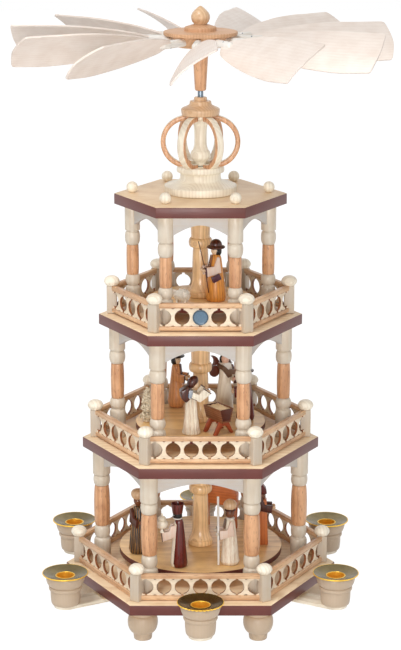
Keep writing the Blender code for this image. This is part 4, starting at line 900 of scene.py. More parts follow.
def bored_board(rim):
    """A six-sided board with a round bore, from the (radius, height) points of its rim."""
    shape = bmesh.new()

    def row(radius, height, sides):
        return [shape.verts.new((radius * math.cos(TURN * i / sides), radius * math.sin(TURN * i / sides), height))
                for i in range(sides)]

    rings = [row(radius, height, SIDES) for radius, height in rim]
    upper_bore, lower_bore = [row(DECK_BORE, height, SIDES * BORE_FACETS) for height in (rim[0][1], rim[-1][1])]
    for upper, lower in zip(rings, rings[1:]):
        for i in range(SIDES):
            j = (i + 1) % SIDES
            shape.faces.new((upper[i], lower[i], lower[j], upper[j]))
    for outer, inner in ((rings[0], upper_bore), (rings[-1], lower_bore)):
        for i in range(SIDES):
            arc = [inner[(i * BORE_FACETS + k) % len(inner)] for k in range(BORE_FACETS + 1)]
            shape.faces.new([outer[i], outer[(i + 1) % SIDES]] + arc[::-1])
    for i in range(len(upper_bore)):
        j = (i + 1) % len(upper_bore)
        shape.faces.new((upper_bore[i], upper_bore[j], lower_bore[j], lower_bore[i]))
    bmesh.ops.recalc_face_normals(shape, faces=shape.faces)
    return as_mesh(shape)


class CAROUSEL_OT_decks(BuildStep):
    """Build the four six-sided decks and the bun feet"""

    bl_idname = "carousel.decks"
    bl_label = "Decks and feet"

    def build(self):
        decks = (("base_board", LOWER.corner, foot_of("bearing_cup") - SEAT_GAP, False),
                 ("middle_board", MIDDLE.corner, top_of("middle_board"), True),
                 ("upper_board", UPPER.corner, top_of("upper_board"), True),
                 ("roof_board", ROOF_CORNER, ROOF_TOP, True))
        for node, corner, top, bored in decks:
            bottom = top - settings("boards").edge_height - BEVEL_HEIGHT
            mesh = finished(deck(corner, bottom, top, bored), "board_wood", "edge_paint")
            piece(f"{node}_wood", mesh, "frame", "painted_edge", node)
        bottom = foot_of("bearing_cup") - SEAT_GAP - settings("boards").edge_height - BEVEL_HEIGHT
        profile = [(0, bottom), (0.0117, bottom), (0.0119, bottom - 0.0050)]
        profile += swell((0.0119, bottom - 0.0062), (0.0093, 0.0070), 0.0046, 14)
        profile += [(0.0096, 0.0050), (0.0090, 0), (0, 0)]
        foot = lathe(softened(profile, 0.0007), 40)
        piece("bun_feet", ring(foot, 0.1165, "cup_wood", seed=3), "frame", "cream_wood", "base_board")


# Columns and aprons
def column_cream(storey):
    """The cream parts of a column: its cylinder foot with a ball, and its head with a ball."""
    stack = storey.stack
    foot_top = storey.floor + stack["foot"][0]
    low_top = foot_top + stack["low_ball"][0]
    shaft_top = low_top + stack["shaft"][0]
    head_bottom = shaft_top + stack["top_ball"][0]
    foot_radius, low_radius = stack["foot"][1], stack["low_ball"][1]
    top_radius, head_radius = stack["top_ball"][1], stack["head"][1]
    neck = stack["shaft"][2]
    groove = 0.0014
    foot = [(0, low_top), (neck - 0.0006, low_top)]
    foot += swell((neck - 0.0006, low_top - 0.0002), (neck, foot_top + groove), low_radius - neck + 0.0003, 12)
    foot += [(neck - 0.0004, foot_top + groove / 2), (foot_radius - 0.0024, foot_top),
             (foot_radius - 0.0006, foot_top - 0.0014), (foot_radius, foot_top - 0.0040),
             (foot_radius, storey.floor), (0, storey.floor)]
    head = [(0, storey.ceiling), (head_radius, storey.ceiling), (head_radius, head_bottom),
            (head_radius - 0.0016, head_bottom - groove * 0.5), (neck + 0.0002, head_bottom - groove * 0.6)]
    head += swell((neck + 0.0002, head_bottom - groove), (neck - 0.0006, shaft_top), top_radius - neck + 0.0003, 12)
    head += [(0, shaft_top)]
    return combined([lathe(softened(foot, 0.0005), 36), lathe(softened(head, 0.0004), 36)])


def column_shaft(storey):
    stack = storey.stack
    bottom = storey.floor + stack["foot"][0] + stack["low_ball"][0]
    top = bottom + stack["shaft"][0]
    belly, end = stack["shaft"][1], stack["shaft"][2]
    profile = [(0, top)] + swell((end, top), (end, bottom), belly - end, 12) + [(0, bottom)]
    return lathe(softened(profile, 0.0003), 36)


ARCH_SHARES = {"lower": 0.86, "middle": 0.69, "upper": 0.84}


def apron(storey):
    """The arched board between two column heads."""
    sizes = settings("boards")
    head = storey.stack["head"][1]
    half = storey.column_ring / 2 - head / 2
    arch = storey.column_ring / 2 - head * 1.05
    top = storey.ceiling - SEAT_GAP
    low = top - sizes.apron_end
    rise = sizes.apron_end - sizes.apron_middle * ARCH_SHARES[storey.name]
    outline = [(-half, top), (-half, low), (-arch, low)]
    steps = 20
    for i in range(1, steps):
        t = 2 * i / steps - 1
        outline.append((arch * t, low + rise * (1 - abs(t) ** 1.7)))
    outline += [(arch, low), (half, low), (half, top)]
    mesh = soft_edges(board(outline, sizes.apron_thickness), sizes.soft_edge)
    return mark_grain(mesh, "Y")


class CAROUSEL_OT_columns(BuildStep):
    """Build the turned columns of all storeys and the arched boards between their heads"""

    bl_idname = "carousel.columns"
    bl_label = "Columns and aprons"

    def build(self):
        for number, storey in enumerate(STOREYS):
            node = f"colonnade_{storey.name}"
            cream = ring(column_cream(storey), storey.column_ring, "cream_wood", seed=10 + number)
            piece(f"column_turnings_{storey.name}", cream, "frame", "cream_wood", node)
            shafts = ring(column_shaft(storey), storey.column_ring, "beech_wood", seed=20 + number)
            piece(f"column_shafts_{storey.name}", shafts, "frame", "beech_wood", node)
            reach = storey.column_ring * math.cos(HALF_SIDE)
            aprons = ring(apron(storey), reach, "apron_wood", first=HALF_SIDE, seed=30 + number)
            piece(f"aprons_{storey.name}", aprons, "frame", "cream_wood", node)


# Fences. A panel's heights: its gap over the deck, the low rail, the fretted board and the high rail
PANEL_HEIGHTS = {"lower": (0.0008, 0.0048, 0.0176, 0.0048), "middle": (0.0014, 0.0040, 0.0185, 0.0045),
                 "upper": (0.0017, 0.0039, 0.0184, 0.0050)}


def fence_post():
    sizes = settings("fences")
    post = block(sizes.post_width, sizes.post_width, sizes.post_height, (0, 0, sizes.post_height / 2))
    return mark_grain(soft_edges(post, 0.0006, 3))


def fence_cap():
    """A mushroom cap: a dome that rounds in over a tapered neck with two bead lines."""
    sizes = settings("fences")
    radius, height, base = sizes.cap_radius, sizes.cap_height, sizes.post_height
    widest = base + height * 0.40
    dome = [(radius * math.sin(a) ** 0.9, widest + height * 0.60 * math.cos(a))
            for a in [TURN / 4 * i / 12 for i in range(13)]]
    neck = [(radius * 0.97, widest - height * 0.09), (radius * 0.86, widest - height * 0.15),
            (radius * 0.89, widest - height * 0.20), (radius * 0.80, widest - height * 0.27),
            (radius * 0.76, base + height * 0.06), (radius * 0.62, base), (0, base)]
    return lathe(softened(dome + neck, 0.0003), 36)


def fence_rail(storey, base, height):
    sizes = settings("fences")
    length = storey.post_ring - sizes.post_width * 0.6
    rail = block(sizes.rail_depth, length, height, (0, 0, base + height / 2))
    return mark_grain(soft_edges(rail, 0.0005), "Y")


def fence_fret(storey, base, height):
    """The fretted board of a panel, at its height between the rails."""
    sizes = settings("fences")
    number = round(storey.post_ring / sizes.hole_pitch)
    mesh = grown(bpy.data.meshes.new("empty"), "fret", {
        "Length": storey.post_ring - sizes.post_width * 0.8, "Height": height + LAP,
        "Thickness": sizes.fret_thickness, "Holes": number, "Pitch": storey.post_ring / number,
        "Hole Radius": sizes.hole_radius, "Finish": FINISHES["white_wood"], "Back Finish": FINISHES["beech_wood"]})
    return moved(mesh, Matrix.Translation((0, 0, base + height / 2)))


class CAROUSEL_OT_fences(BuildStep):
    """Build the fences: posts with mushroom caps, rails, fretted boards and the blue disc"""

    bl_idname = "carousel.fences"
    bl_label = "Fences"

    def build(self):
        sizes = settings("fences")
        for number, storey in enumerate(STOREYS):
            node = f"balustrade_{storey.name}"
            lift = Matrix.Translation((0, 0, storey.floor))
            posts = ring(moved(fence_post(), lift), storey.post_ring, "post_wood", seed=40 + number)
            piece(f"fence_posts_{storey.name}", posts, "frame", "cream_wood", node)
            caps = ring(moved(fence_cap(), lift), storey.post_ring, "crown_wood", seed=50 + number)
            piece(f"fence_caps_{storey.name}", caps, "frame", "cream_wood", node)
            rise, low_rail, fret, high_rail = PANEL_HEIGHTS[storey.name]
            rails = combined([fence_rail(storey, rise, low_rail), fence_rail(storey, rise + low_rail + fret, high_rail)])
            rails = ring(moved(rails, lift), storey.panel_reach, "pale_beech", first=HALF_SIDE, seed=60 + number)
            piece(f"fence_rails_{storey.name}", rails, "frame", "beech_wood", node)
            frets = ring(moved(fence_fret(storey, rise + low_rail, fret), lift), storey.panel_reach, "fret_wood",
                         "burnt_wood", HALF_SIDE, seed=70 + number)
            piece(f"fence_frets_{storey.name}", frets, "frame", "cream_wood", node)
        self.add_medallion(sizes)

    def add_medallion(self, sizes):
        radius, face = sizes.medallion_radius, 0.0016
        profile = [(0, face - 0.0004), (radius - 0.0012, face - 0.0004), (radius - 0.0006, face), (radius, face),
                   (radius, 0), (0, 0)]
        disc = lathe(softened(profile, 0.0003), 48)
        rise, low_rail, fret, high_rail = PANEL_HEIGHTS["upper"]
        height = UPPER.floor + rise + low_rail + fret / 2
        front = -UPPER.panel_reach - sizes.fret_thickness / 2
        disc.transform(Matrix.Translation((0, front, height)) @ Matrix.Rotation(TURN / 4, 4, "X"))
        mark_accent(disc, lambda middle, normal: Vector((middle.x, middle.z - height)).length > radius * 0.80)
        piece("blue_disc", finished(disc, "blue_glaze", "blue_rim"), "frame", "painted_edge")


# Candle holders
FRONT_SIDE = 4


class CAROUSEL_OT_holders(BuildStep):
    """Build the candle arms, their turned cups and the brass drip trays"""

    bl_idname = "carousel.holders"
    bl_label = "Candle holders"

    def build(self):
        sizes = settings("holders")
        ring_radius = sizes.ring_radius
        arm_top = foot_of("candle_holder_1") + sizes.arm_thickness
        arms = ring(self.arm(sizes, arm_top), 0, "arm_wood", first=HALF_SIDE, seed=80)
        nodes = [f"candle_holder_{i + 1}" for i in range(SIDES)]
        piece("candle_arms", arms, "frame", "cream_wood", *nodes)
        cups = ring(self.cup(arm_top), ring_radius, "cup_wood", first=HALF_SIDE, seed=81)
        piece("candle_cups", cups, "frame", "cream_wood", *nodes)
        for i in range(SIDES):
            angle = HALF_SIDE + TURN * i / SIDES
            # Each tray's socket and rolled rim take the bright brass, a painted highlight on the same sheet as its
            # darkened dish, which is a painted reflection
            tray = grown(self.tray(sizes, 36 if i == FRONT_SIDE else 0), "ring", {
                "Count": 1, "Radius": ring_radius, "First Angle": angle, "Seed": 82 + i,
                "Finish": FINISHES["tray_brass"], "Accent Finish": FINISHES["bright_brass"]})
            piece(f"drip_tray_{i + 1}_brass", tray, "frame", "brass", f"drip_tray_{i + 1}")

    def arm(self, sizes, top):
        """A flat arm with a round outer end and its packing pad, its length along X."""
        half, inner, pad_top = sizes.arm_width / 2, 0.0800, 0.0322
        outline = [(inner, -half)]
        for i in range(17):
            angle = math.pi * (i / 16 - 1 / 2)
            outline.append((sizes.ring_radius + half * math.cos(angle), half * math.sin(angle)))
        outline.append((inner, half))
        plank = board([(y, x) for x, y in outline], sizes.arm_thickness)
        plank.transform(Matrix(((0, 0, 1, 0), (0, 1, 0, 0), (-1, 0, 0, top - sizes.arm_thickness / 2), (0, 0, 0, 1))))
        pad = block(0.0300, sizes.arm_width - 2 * LAP, pad_top - top + LAP,
                    (inner + LAP + 0.0150, 0, (pad_top + top - LAP) / 2))
        return combined([mark_grain(soft_edges(plank, 0.0004), "X"), mark_grain(soft_edges(pad, 0.0004), "X")])

    def cup(self, bottom):
        """A turned cup: a bellied body, a bead between grooves, and a wide bowl."""
        top = foot_of("candle_holder_1") + 0.0347
        profile = [(0, top - 0.0190), (0.0108, top - 0.0190), (0.0108, top - 0.0022), (0.0186, top - 0.0002),
                   (0.0196, top - 0.0008)]
        profile += swell((0.0200, top - 0.0024), (0.0160, 0.0490), 0.0011, 8)
        profile += [(0.0156, 0.0484)] + swell((0.0160, 0.0482), (0.0158, 0.0440), 0.0011, 6) + [(0.0151, 0.0434)]
        profile += swell((0.0153, 0.0428), (0.0139, bottom), 0.0006, 6) + [(0, bottom)]
        return lathe(softened(profile, 0.0004), 48)

    def tray(self, sizes, flutes):
        """A shallow dish of sheet brass with a rolled rim and a drawn socket, its rim fluted if asked."""
        sheet, wall = sizes.tray_thickness, sizes.socket_radius + sizes.tray_thickness
        rim = top_of("drip_tray_1")
        bend = rim - sizes.tray_rise
        floor = foot_of("drip_tray_1") + sheet
        mouth = sizes.socket_radius
        profile = [(0, floor), (mouth, floor), (mouth, bend + 0.0002), (mouth + sheet / 2, bend + 0.0006),
                   (wall + 0.0004, bend + 0.0003)]
        for i in range(1, 9):
            t = i / 8
            profile.append((wall + (sizes.tray_radius - sheet - wall) * t, bend + sizes.tray_rise * t ** 1.15 - sheet / 3))
        edge = sizes.tray_radius - sheet
        for i in range(1, 6):
            angle = TURN / 4 - TURN / 2 * i / 6
            profile.append((edge + sheet * math.cos(angle), rim - sheet + sheet * math.sin(angle)))
        profile += [(edge - sheet, rim - 2 * sheet), (wall, bend - sheet), (wall, floor - sheet), (0, floor - sheet)]
        mesh = lathe(softened(profile, 0.0002), flutes * 6 or 72, ribs=flutes, rib_depth=0.0011 if flutes else 0.0,
                     ribs_from=sizes.tray_radius * 0.86)
        # Marks the socket and the rolled rim for the bright brass: a painted highlight
        return mark_accent(mesh, lambda middle, normal: middle.xy.length < wall + 0.0006
                           or middle.xy.length > edge - sheet / 4)


# Roof balls and crown
class CAROUSEL_OT_crown(BuildStep):
    """Build the roof balls and the crown with its base, hoops, spindle and lid"""

    bl_idname = "carousel.crown"
    bl_label = "Crown"

    def build(self):
        sizes = settings("crown")
        radius = sizes.ball_radius
        orb = mark_grain(ball(radius, (0, 0, ROOF_TOP + radius - LAP)))
        piece("roof_balls", ring(orb, 0.0688, "crown_wood", seed=90), "frame", "cream_wood", "roof_board")
        low, lid = foot_of("crown_base"), foot_of("crown_cap")
        seat = low + 0.0268
        base = [(0.0060, seat), (0.0232, seat), (0.0240, seat - 0.0030), (0.0238, seat - 0.0056),
                (0.0212, seat - 0.0064)]
        base += swell((0.0204, seat - 0.0070), (0.0215, low + 0.0125), -0.0006, 4)
        base += [(0.0258, low + 0.0104), (0.0310, low + 0.0089), (0.0352, low + 0.0080), (0.0364, low + 0.0074),
                 (0.0364, low + 0.0012), (0.0358, low), (0.0060, low)]
        base_mesh = finished(lathe(softened(base, 0.0006), 72, bored=True), "crown_wood")
        piece("crown_foot", base_mesh, "frame", "cream_wood", "crown_base")
        hoop = self.hoop(sizes, seat)
        piece("crown_hoops", ring(hoop, 0, "crown_wood", "beech_wood", seed=91), "frame", "cream_wood",
              "crown_base")
        piece("crown_spindle_turned", finished(self.spindle(seat + SEAT_GAP, lid - SEAT_GAP), "crown_wood"), "frame",
              "beech_wood", "crown_spindle")
        piece("crown_lid", finished(self.lid(lid), "light_wood"), "frame", "beech_wood", "crown_cap")

    def hoop(self, sizes, seat):
        """A bent strip that bows outwards, its ends let into the base and under the lid."""
        middle = seat - 0.0020 + sizes.hoop_radius
        center = sizes.hoop_reach - sizes.hoop_radius
        opening = math.acos((0.0118 - center) / (sizes.hoop_radius - sizes.hoop_thickness / 2))
        half_t, half_w = sizes.hoop_thickness / 2, sizes.hoop_width / 2
        section = []
        for corner, (sx, sy) in enumerate(((1, 1), (-1, 1), (-1, -1), (1, -1))):
            for k in range(4):
                angle = TURN / 4 * corner + TURN / 4 * k / 3
                section.append((sx * (half_t - 0.0012) + 0.0012 * math.cos(angle),
                                sy * (half_w - 0.0012) + 0.0012 * math.sin(angle)))
        shape = bmesh.new()
        rows = []
        steps = 48
        for i in range(steps + 1):
            angle = -opening + 2 * opening * i / steps
            reach = sizes.hoop_radius - half_t
            rows.append([shape.verts.new((center + (reach + dr) * math.cos(angle), dy,
                                          middle + (reach + dr) * math.sin(angle))) for dr, dy in section])
        for lower, upper in zip(rows, rows[1:]):
            for i in range(len(section)):
                j = (i + 1) % len(section)
                shape.faces.new((lower[i], lower[j], upper[j], upper[i]))
        shape.faces.new(list(reversed(rows[0])))
        shape.faces.new(rows[-1])
        bmesh.ops.recalc_face_normals(shape, faces=shape.faces)
        mesh = mark_grain(as_mesh(shape))
        return mark_accent(mesh, lambda middle, normal: abs(normal.y) > 0.6)

    def spindle(self, bottom, top):
        profile = [(0.0034, top), (0.0050, top), (0.0050, top - 0.0040), (0.0064, top - 0.0052)]
        profile += swell((0.0074, top - 0.0090), (0.0066, bottom + 0.0195), -0.0009, 8)
        profile += swell((0.0078, bottom + 0.0155), (0.0094, bottom + 0.0075), 0.0014, 8)
        profile += [(0.0070, bottom + 0.0048), (0.0052, bottom + 0.0036), (0.0052, bottom), (0.0034, bottom)]
        return lathe(softened(profile, 0.0005), 40, bored=True)

    def lid(self, bottom):
        edge, shoulder, top = bottom + 0.0068, bottom + 0.0142, bottom + 0.0180
        profile = [(BORE_RADIUS, top), (0.0060, top), (0.0066, top - 0.0012), (0.0062, shoulder),
                   (0.0102, shoulder), (0.0109, shoulder - 0.0012), (0.0108, shoulder - 0.0026)]
        profile += [(0.0118, shoulder - 0.0042), (0.0146, edge + 0.0018), (0.0184, edge + 0.0002), (0.0195, edge - 0.0010),
                    (0.0193, bottom + 0.0030), (0.0188, bottom), (BORE_RADIUS, bottom)]
        return lathe(softened(profile, 0.0005), 56, bored=True)


# Shaft, turntables and hub columns
BULGE_SHARES = {"lower": 0.600, "middle": 0.578, "upper": 0.615}


class CAROUSEL_OT_hubs(BuildStep):
    """Build the steel shaft with its bearing, the turntables and the turned columns on them"""

    bl_idname = "carousel.hubs"
    bl_label = "Shaft, turntables and hub columns"

    def build(self):
        tip, top = foot_of("rotor_shaft"), top_of("rotor_shaft")
        rod = lathe([(0, top), (SHAFT_RADIUS, top), (SHAFT_RADIUS, tip + 0.0033), (0, tip)], 32)
        piece("shaft_steel", finished(rod, "steel"), "rotor", "steel", "rotor_shaft")
        low = foot_of("bearing_cup")
        cup = [(0, low + 0.0018), (0.0034, low + 0.0052), (0.0060, low + 0.0052), (0.0060, low), (0, low)]
        piece("bearing_brass", finished(lathe(softened(cup, 0.0003), 32), "bright_brass"), "frame", "brass",
              "bearing_cup")
        for storey in STOREYS:
            name = storey.name
            radius, high, bottom = storey.table_radius, storey.table_top, storey.table_bottom
            table = lathe(softened([(BORE_RADIUS, high), (radius, high), (radius, bottom), (BORE_RADIUS, bottom)],
                                   0.0005), 96, bored=True)
            mark_grain(table, "X", (radius, 0.02, 0))
            mark_accent(table, lambda middle, normal: abs(normal.z) < 0.7 and middle.xy.length > radius / 2)
            piece(f"turntable_{name}_wood", finished(table, "table_wood", "edge_paint"), "rotor", "turntable_wood",
                  f"turntable_{name}")
            piece(f"hub_column_{name}_turned", finished(self.column(name), "hub_wood"), "rotor", "hub_wood",
                  f"hub_column_{name}")

    def column(self, name):
        bottom, top = foot_of(f"hub_column_{name}"), top_of(f"hub_column_{name}")
        height = top - bottom
        bulge = bottom + height * BULGE_SHARES[name]
        profile = [(BORE_RADIUS, top), (0.0110, top)]
        profile += swell((0.0114, top - 0.0012), (0.0094, bulge + 0.0060), -0.0004, 8)
        profile += swell((0.0096, bulge + 0.0050), (0.0100, bulge - 0.0044), 0.0022, 8)
        profile += [(0.0080, bulge - 0.0052), (0.0075, bulge - 0.0062)]
        profile += swell((0.0075, bulge - 0.0070), (0.0084, bottom + 0.0190), 0.0003, 6)
        profile += [(0.0091, bottom + 0.0140), (0.0104, bottom + 0.0095), (0.0121, bottom + 0.0066),
                    (0.0116, bottom + 0.0058), (0.0129, bottom + 0.0052), (0.0131, bottom + 0.0010),
                    (0.0128, bottom), (BORE_RADIUS, bottom)]
        return lathe(softened(profile, 0.0005), 48, bored=True)


# Wheel
BLADE_STATIONS = ((0.0470, 0.0030, 0.0020), (0.0570, 0.0120, 0.0070), (0.0700, 0.0162, 0.0125),
                  (0.0840, 0.0190, 0.0172), (0.0950, 0.0208, 0.0200), (0.1110, 0.0228, 0.0240),
                  (0.1280, 0.0242, 0.0268), (0.1440, 0.0250, 0.0286), (0.1600, 0.0250, 0.0292),
                  (0.1750, 0.0238, 0.0304), (0.1925, 0.0222, 0.0316))
BLADE_SWEEP = 0.0030
BLADE_CROWN = 0.0030
BLADE_FRONT_OFFSET = math.radians(-4.34)
BLADE_PITCH = math.radians(35.8)


def through(stations, place):
    """The values of a table at a place, on a smooth curve through its rows."""
    last = len(stations) - 2
    i = next((k for k in range(last + 1) if place <= stations[k + 1][0]), last)
    rows = [stations[max(0, min(last + 1, k))] for k in (i - 1, i, i + 1, i + 2)]
    t = (place - rows[1][0]) / (rows[2][0] - rows[1][0])
    values = []
    for column in range(1, len(rows[0])):
        a, b, c, d = (row[column] for row in rows)
        values.append(b + t * ((c - a) / 2 + t * (a - 2.5 * b + 2 * c - d / 2 + t * (1.5 * (b - c) + (d - a) / 2))))
    return values


def blade_angle(index):
    return -math.pi / 2 + BLADE_FRONT_OFFSET - TURN * index / settings("wheel").blade_count


def blade_sheet():
    """A bowed vane with rounded edges. X runs outwards, Y to the edge that is set high."""
    sizes = settings("wheel")
    root, tip = BLADE_STATIONS[0][0], BLADE_STATIONS[-1][0]
    along_steps, across_steps = 44, 20
    shape = bmesh.new()
    rows = []
    for i in range(along_steps + 1):
        along = i / along_steps
        low, high = through(BLADE_STATIONS, root + (tip - root) * along)
        row = []
        for j in range(across_steps + 1):
            across = 2 * j / across_steps - 1
            side = across * (high if across > 0 else low)
            end = tip - BLADE_SWEEP * max(across, 0.0) - BLADE_CROWN * across ** 2
            radius = root + (end - root) * along
            bow = 0.0027 * (across * high / 0.030) ** 2 if across > 0 else 0.0050 * (across * low / 0.0235) ** 2
            row.append(shape.verts.new((radius, side, -bow - 0.0040 * along ** 2)))
        rows.append(row)
    for first, second in zip(rows, rows[1:]):
        for j in range(across_steps):
            shape.faces.new((first[j], second[j], second[j + 1], first[j + 1]))
    corners = [rows[-1][0], rows[-1][-1]]
    bmesh.ops.bevel(shape, geom=corners, offset=0.0028, segments=4, affect="VERTICES", profile=0.5)
    sheet = as_mesh(shape)
    sheet = shaped(sheet, ("SOLIDIFY", {"thickness": sizes.blade_thickness, "offset": 0.0}))
    return mark_grain(soft_edges(sheet, 0.0005, 2), "X")


def blade_peg():
    """The round peg that a blade is let into, with a pin through it."""
    sizes = settings("wheel")
    radius, inner, outer = sizes.peg_radius, 0.0200, 0.0640
    profile = [(0, outer)]
    profile += [(radius * math.sin(a), outer - 0.0040 * (1 - math.cos(a)))
                for a in [TURN / 4 * i / 6 for i in range(1, 7)]]
    profile += [(radius, inner + 0.0005), (radius - 0.0005, inner), (0, inner)]
    peg = lathe(profile, 28)
    peg.transform(Matrix.Rotation(TURN / 4, 4, "Y"))
    pin = lathe(softened([(0, radius + 0.0002), (sizes.pin_radius, radius + 0.0002), (sizes.pin_radius, -radius - 0.0002),
                          (0, -radius - 0.0002)], 0.0002), 16)
    pin.transform(Matrix.Translation((0.0505, 0, 0)))
    mark_accent(peg, lambda middle, normal: False)
    mark_accent(pin, lambda middle, normal: True)
    return combined([peg, pin])


class CAROUSEL_OT_wheel(BuildStep):
    """Build the wheel: its shank, disc, knob, and the blades on their pegs"""

    bl_idname = "carousel.wheel"
    bl_label = "Wheel"

    def build(self):
        low, high = foot_of("wheel_shank"), top_of("wheel_shank")
        shank = [(BORE_RADIUS, high), (0.0081, high), (0.0057, low + 0.0014), (0.0052, low), (BORE_RADIUS, low)]
        piece("shank_beech", finished(lathe(softened(shank, 0.0008), 36, bored=True), "beech_wood"), "rotor",
              "beech_wood", "wheel_shank")
        piece("wheel_disc", finished(self.disc(), "disc_wood"), "rotor", "hub_wood", "wheel_hub")
        piece("wheel_finial", finished(self.knob(), "light_wood"), "rotor", "hub_wood", "wheel_knob")
        sheet, peg = blade_sheet(), blade_peg()
        mark_accent(sheet, lambda middle, normal: False)
        axis_height = foot_of("wheel_hub") + 0.0114 - SEAT_GAP - 0.00465421
        for i in range(settings("wheel").blade_count):
            values = {"Pitch": BLADE_PITCH, "Angle": blade_angle(i), "Axis Height": axis_height,
                      "Shift": (0.11 * i, 0.07 * i, 0.31 * i), "Finish": FINISHES["blade_wood"],
                      "Accent Finish": FINISHES["steel"]}
            vane = grown(sheet.copy(), "vane", values)
            piece(f"vane_sheet_{i + 1:02d}", vane, f"vane_{i + 1:02d}", "blade_wood", f"blade_{i + 1:02d}")
            values["Finish"] = FINISHES["peg_wood"]
            stick = grown(peg.copy(), "vane", values)
            piece(f"vane_peg_{i + 1:02d}", stick, f"vane_{i + 1:02d}", "blade_wood", f"blade_{i + 1:02d}")

    def disc(self):
        low = foot_of("wheel_hub")
        radius = settings("wheel").disc_radius
        rim, step = low + 0.0114, low + 0.0154
        profile = [(BORE_RADIUS, step + 0.0062), (0.0080, step + 0.0062), (0.0152, step + 0.0040),
                   (0.0159, step + 0.0034), (0.0159, step), (radius - 0.0030, step), (radius, step - 0.0006),
                   (radius, rim + 0.0004), (radius - 0.0006, rim), (0.0318, rim - 0.0004)]
        profile += swell((0.0315, rim - 0.0010), (0.0246, low + 0.0008), 0.0004, 6)
        profile += [(0.0240, low), (BORE_RADIUS, low)]
        return lathe(softened(profile, 0.0005), 88, bored=True)

    def knob(self):
        low = foot_of("wheel_knob")
        profile = [(0, low + 0.0181), (0.0012, low + 0.0177), (0.0030, low + 0.0164), (0.0056, low + 0.0140),
                   (0.0082, low + 0.0112), (0.0094, low + 0.0082), (0.0093, low + 0.0055), (0.0082, low + 0.0026),
                   (0.0067, low + 0.0008), (0.0066, low), (0, low)]
        return lathe(profile, 40)


# Figures. Each faces +X with its foot at the origin, and is then stood on its turntable
PLACES = {
    "shepherd": (UPPER, 0.305, -0.36, 200), "sheep": (UPPER, -0.37, -0.52, 165),
    "robed_woman": (MIDDLE, -0.14, -0.715, 10), "manger": (MIDDLE, 0.27, -0.645, -55),
    "herdsman": (MIDDLE, -0.38, 0.72, -20), "angel": (MIDDLE, 0.375, 0.38, -60),
    "drover": (MIDDLE, 0.69, 0, 180), "shaving_tree": (MIDDLE, -0.82, -0.09, 0),
    "king_striped": (LOWER, -0.76, -0.31, -60), "king_dark_red": (LOWER, -0.253, -0.785, 185),
    "king_turbaned": (LOWER, 0.355, -0.695, 190), "king_orange": (LOWER, 0.745, 0, 0),
    "camel": (LOWER, 0.22, 0.58, 160),
}
SLOTS = {
    "cream_wood": ("cream_wood", "crown_wood", "white_wood", "ribbed_wood", "rose_wood", "skin_wood", "rosy_wood",
                   "scarf_paint", "light_wood", "cream_gloss"),
    "dark_stain": ("dark_wood", "dark_gloss", "black_gloss", "plum_paint", "umber_wood", "brown_skin",
                   "trough_wood", "rust_wood", "wing_wood", "striped_wood"),
    "red_stain": ("red_wood", "red_gloss"), "orange_stain": ("orange_wood",), "beech_wood": ("orange_beech",),
    "ochre_stain": ("ochre_wood",), "pale_shavings": ("fleece_wood", "shaving_wood", "straw_wood"),
}
SLOT_OF = {finish: slot for slot, finishes in SLOTS.items() for finish in finishes}
ROBE = ((0.34, 0.985), (0.44, 0.955), (0.52, 0.91), (0.70, 0.62), (0.86, 0.34), (0.97, 0.13), (1.0, 0.085),
        (0.985, 0.07), (0.90, 0))
SLEEVE = ((-0.12, -0.03), (0, 0.03), (0.10, -0.04), (0.34, -0.46), (1, -0.49), (0.93, -0.97), (-0.26, -0.80))
HEAD_RADIUS = 0.0046
BOTH = (-1, 1)


def mm(*points):
    """Points that are given in millimetres."""
    return [tuple(value / 1000 for value in point) for point in points]


def flat(outline, thickness, y=0.0, soft=0.0004):
    """A board in the XZ plane from (x, z) points, its thickness along Y."""
    mesh = soft_edges(board(outline, thickness), soft)
    mesh.transform(Matrix.Translation((0, y, 0)) @ Matrix.Rotation(-TURN / 4, 4, "Z"))
    return mesh


def upright(outline, thickness, x=0.0, soft=0.0004):
    """A board in the YZ plane from (y, z) points, its thickness along X."""
    return lifted(soft_edges(board(outline, thickness), soft), x)


def lifted(mesh, x=0.0, z=0.0):
    return moved(mesh, Matrix.Translation((x, 0, z)))


def turned(profile, soft, sides, x=0.0, z=0.0):
    """A turned shape with softened corners, at its place."""
    return lifted(lathe(softened(profile, soft), sides), x, z)


def rod(start, end, radius, sides):
    """A round bar between two points."""
    start = Vector(start)
    along = Vector(end) - start
    shape = bmesh.new()
    bmesh.ops.create_cone(shape, cap_ends=True, segments=sides, radius1=radius, radius2=radius, depth=along.length)
    shape.transform(Matrix.Translation(start + along / 2) @ along.to_track_quat("Z", "Y").to_matrix().to_4x4())
    return as_mesh(shape)


def scaled(shares, width, height, z=0.0):
    return [(a * width, z + b * height) for a, b in shares]


def gown(radius, height, ribs=0, depth=0.0, shares=ROBE):
    """A turned robe, ribbed lengthwise where ribs are asked for."""
    profile = [(0, height)] + scaled(shares, radius, height) + [(0, 0)]
    return lathe(softened(profile, 0.0012), ribs * 6 or 48, ribs=ribs, rib_depth=depth)


def eyes(z, radius=HEAD_RADIUS, x=0.0):
    spots = []
    for side in BOTH:
        way = Vector((0.84, side * 0.50, 0.12)).normalized() * (radius - 0.0001)
        spots.append(ball(0.00055, (way.x + x, way.y, way.z + z), (0.7, 1, 1), 10, 6))
    return spots


def dome(radius, height, base):
    """Profile points of a dome whose round part begins at a share of its height."""
    quarter = [TURN / 4 * i / 8 for i in range(1, 9)]
    return [(0, height)] + [(radius * math.sin(a), height * (base + (1 - base) * math.cos(a))) for a in quarter]


def brimmed_hat(z, brim, crown, height):
    profile = dome(crown, height, 0.38)
    profile += [(crown * 1.04, height * 0.33), (brim * 0.86, height * 0.27), (brim, height * 0.20),
                (brim * 0.99, height * 0.09), (brim * 0.84, height * 0.02), (crown * 0.7, 0), (0, 0)]
    return turned(profile, 0.0005, 40, z=z)


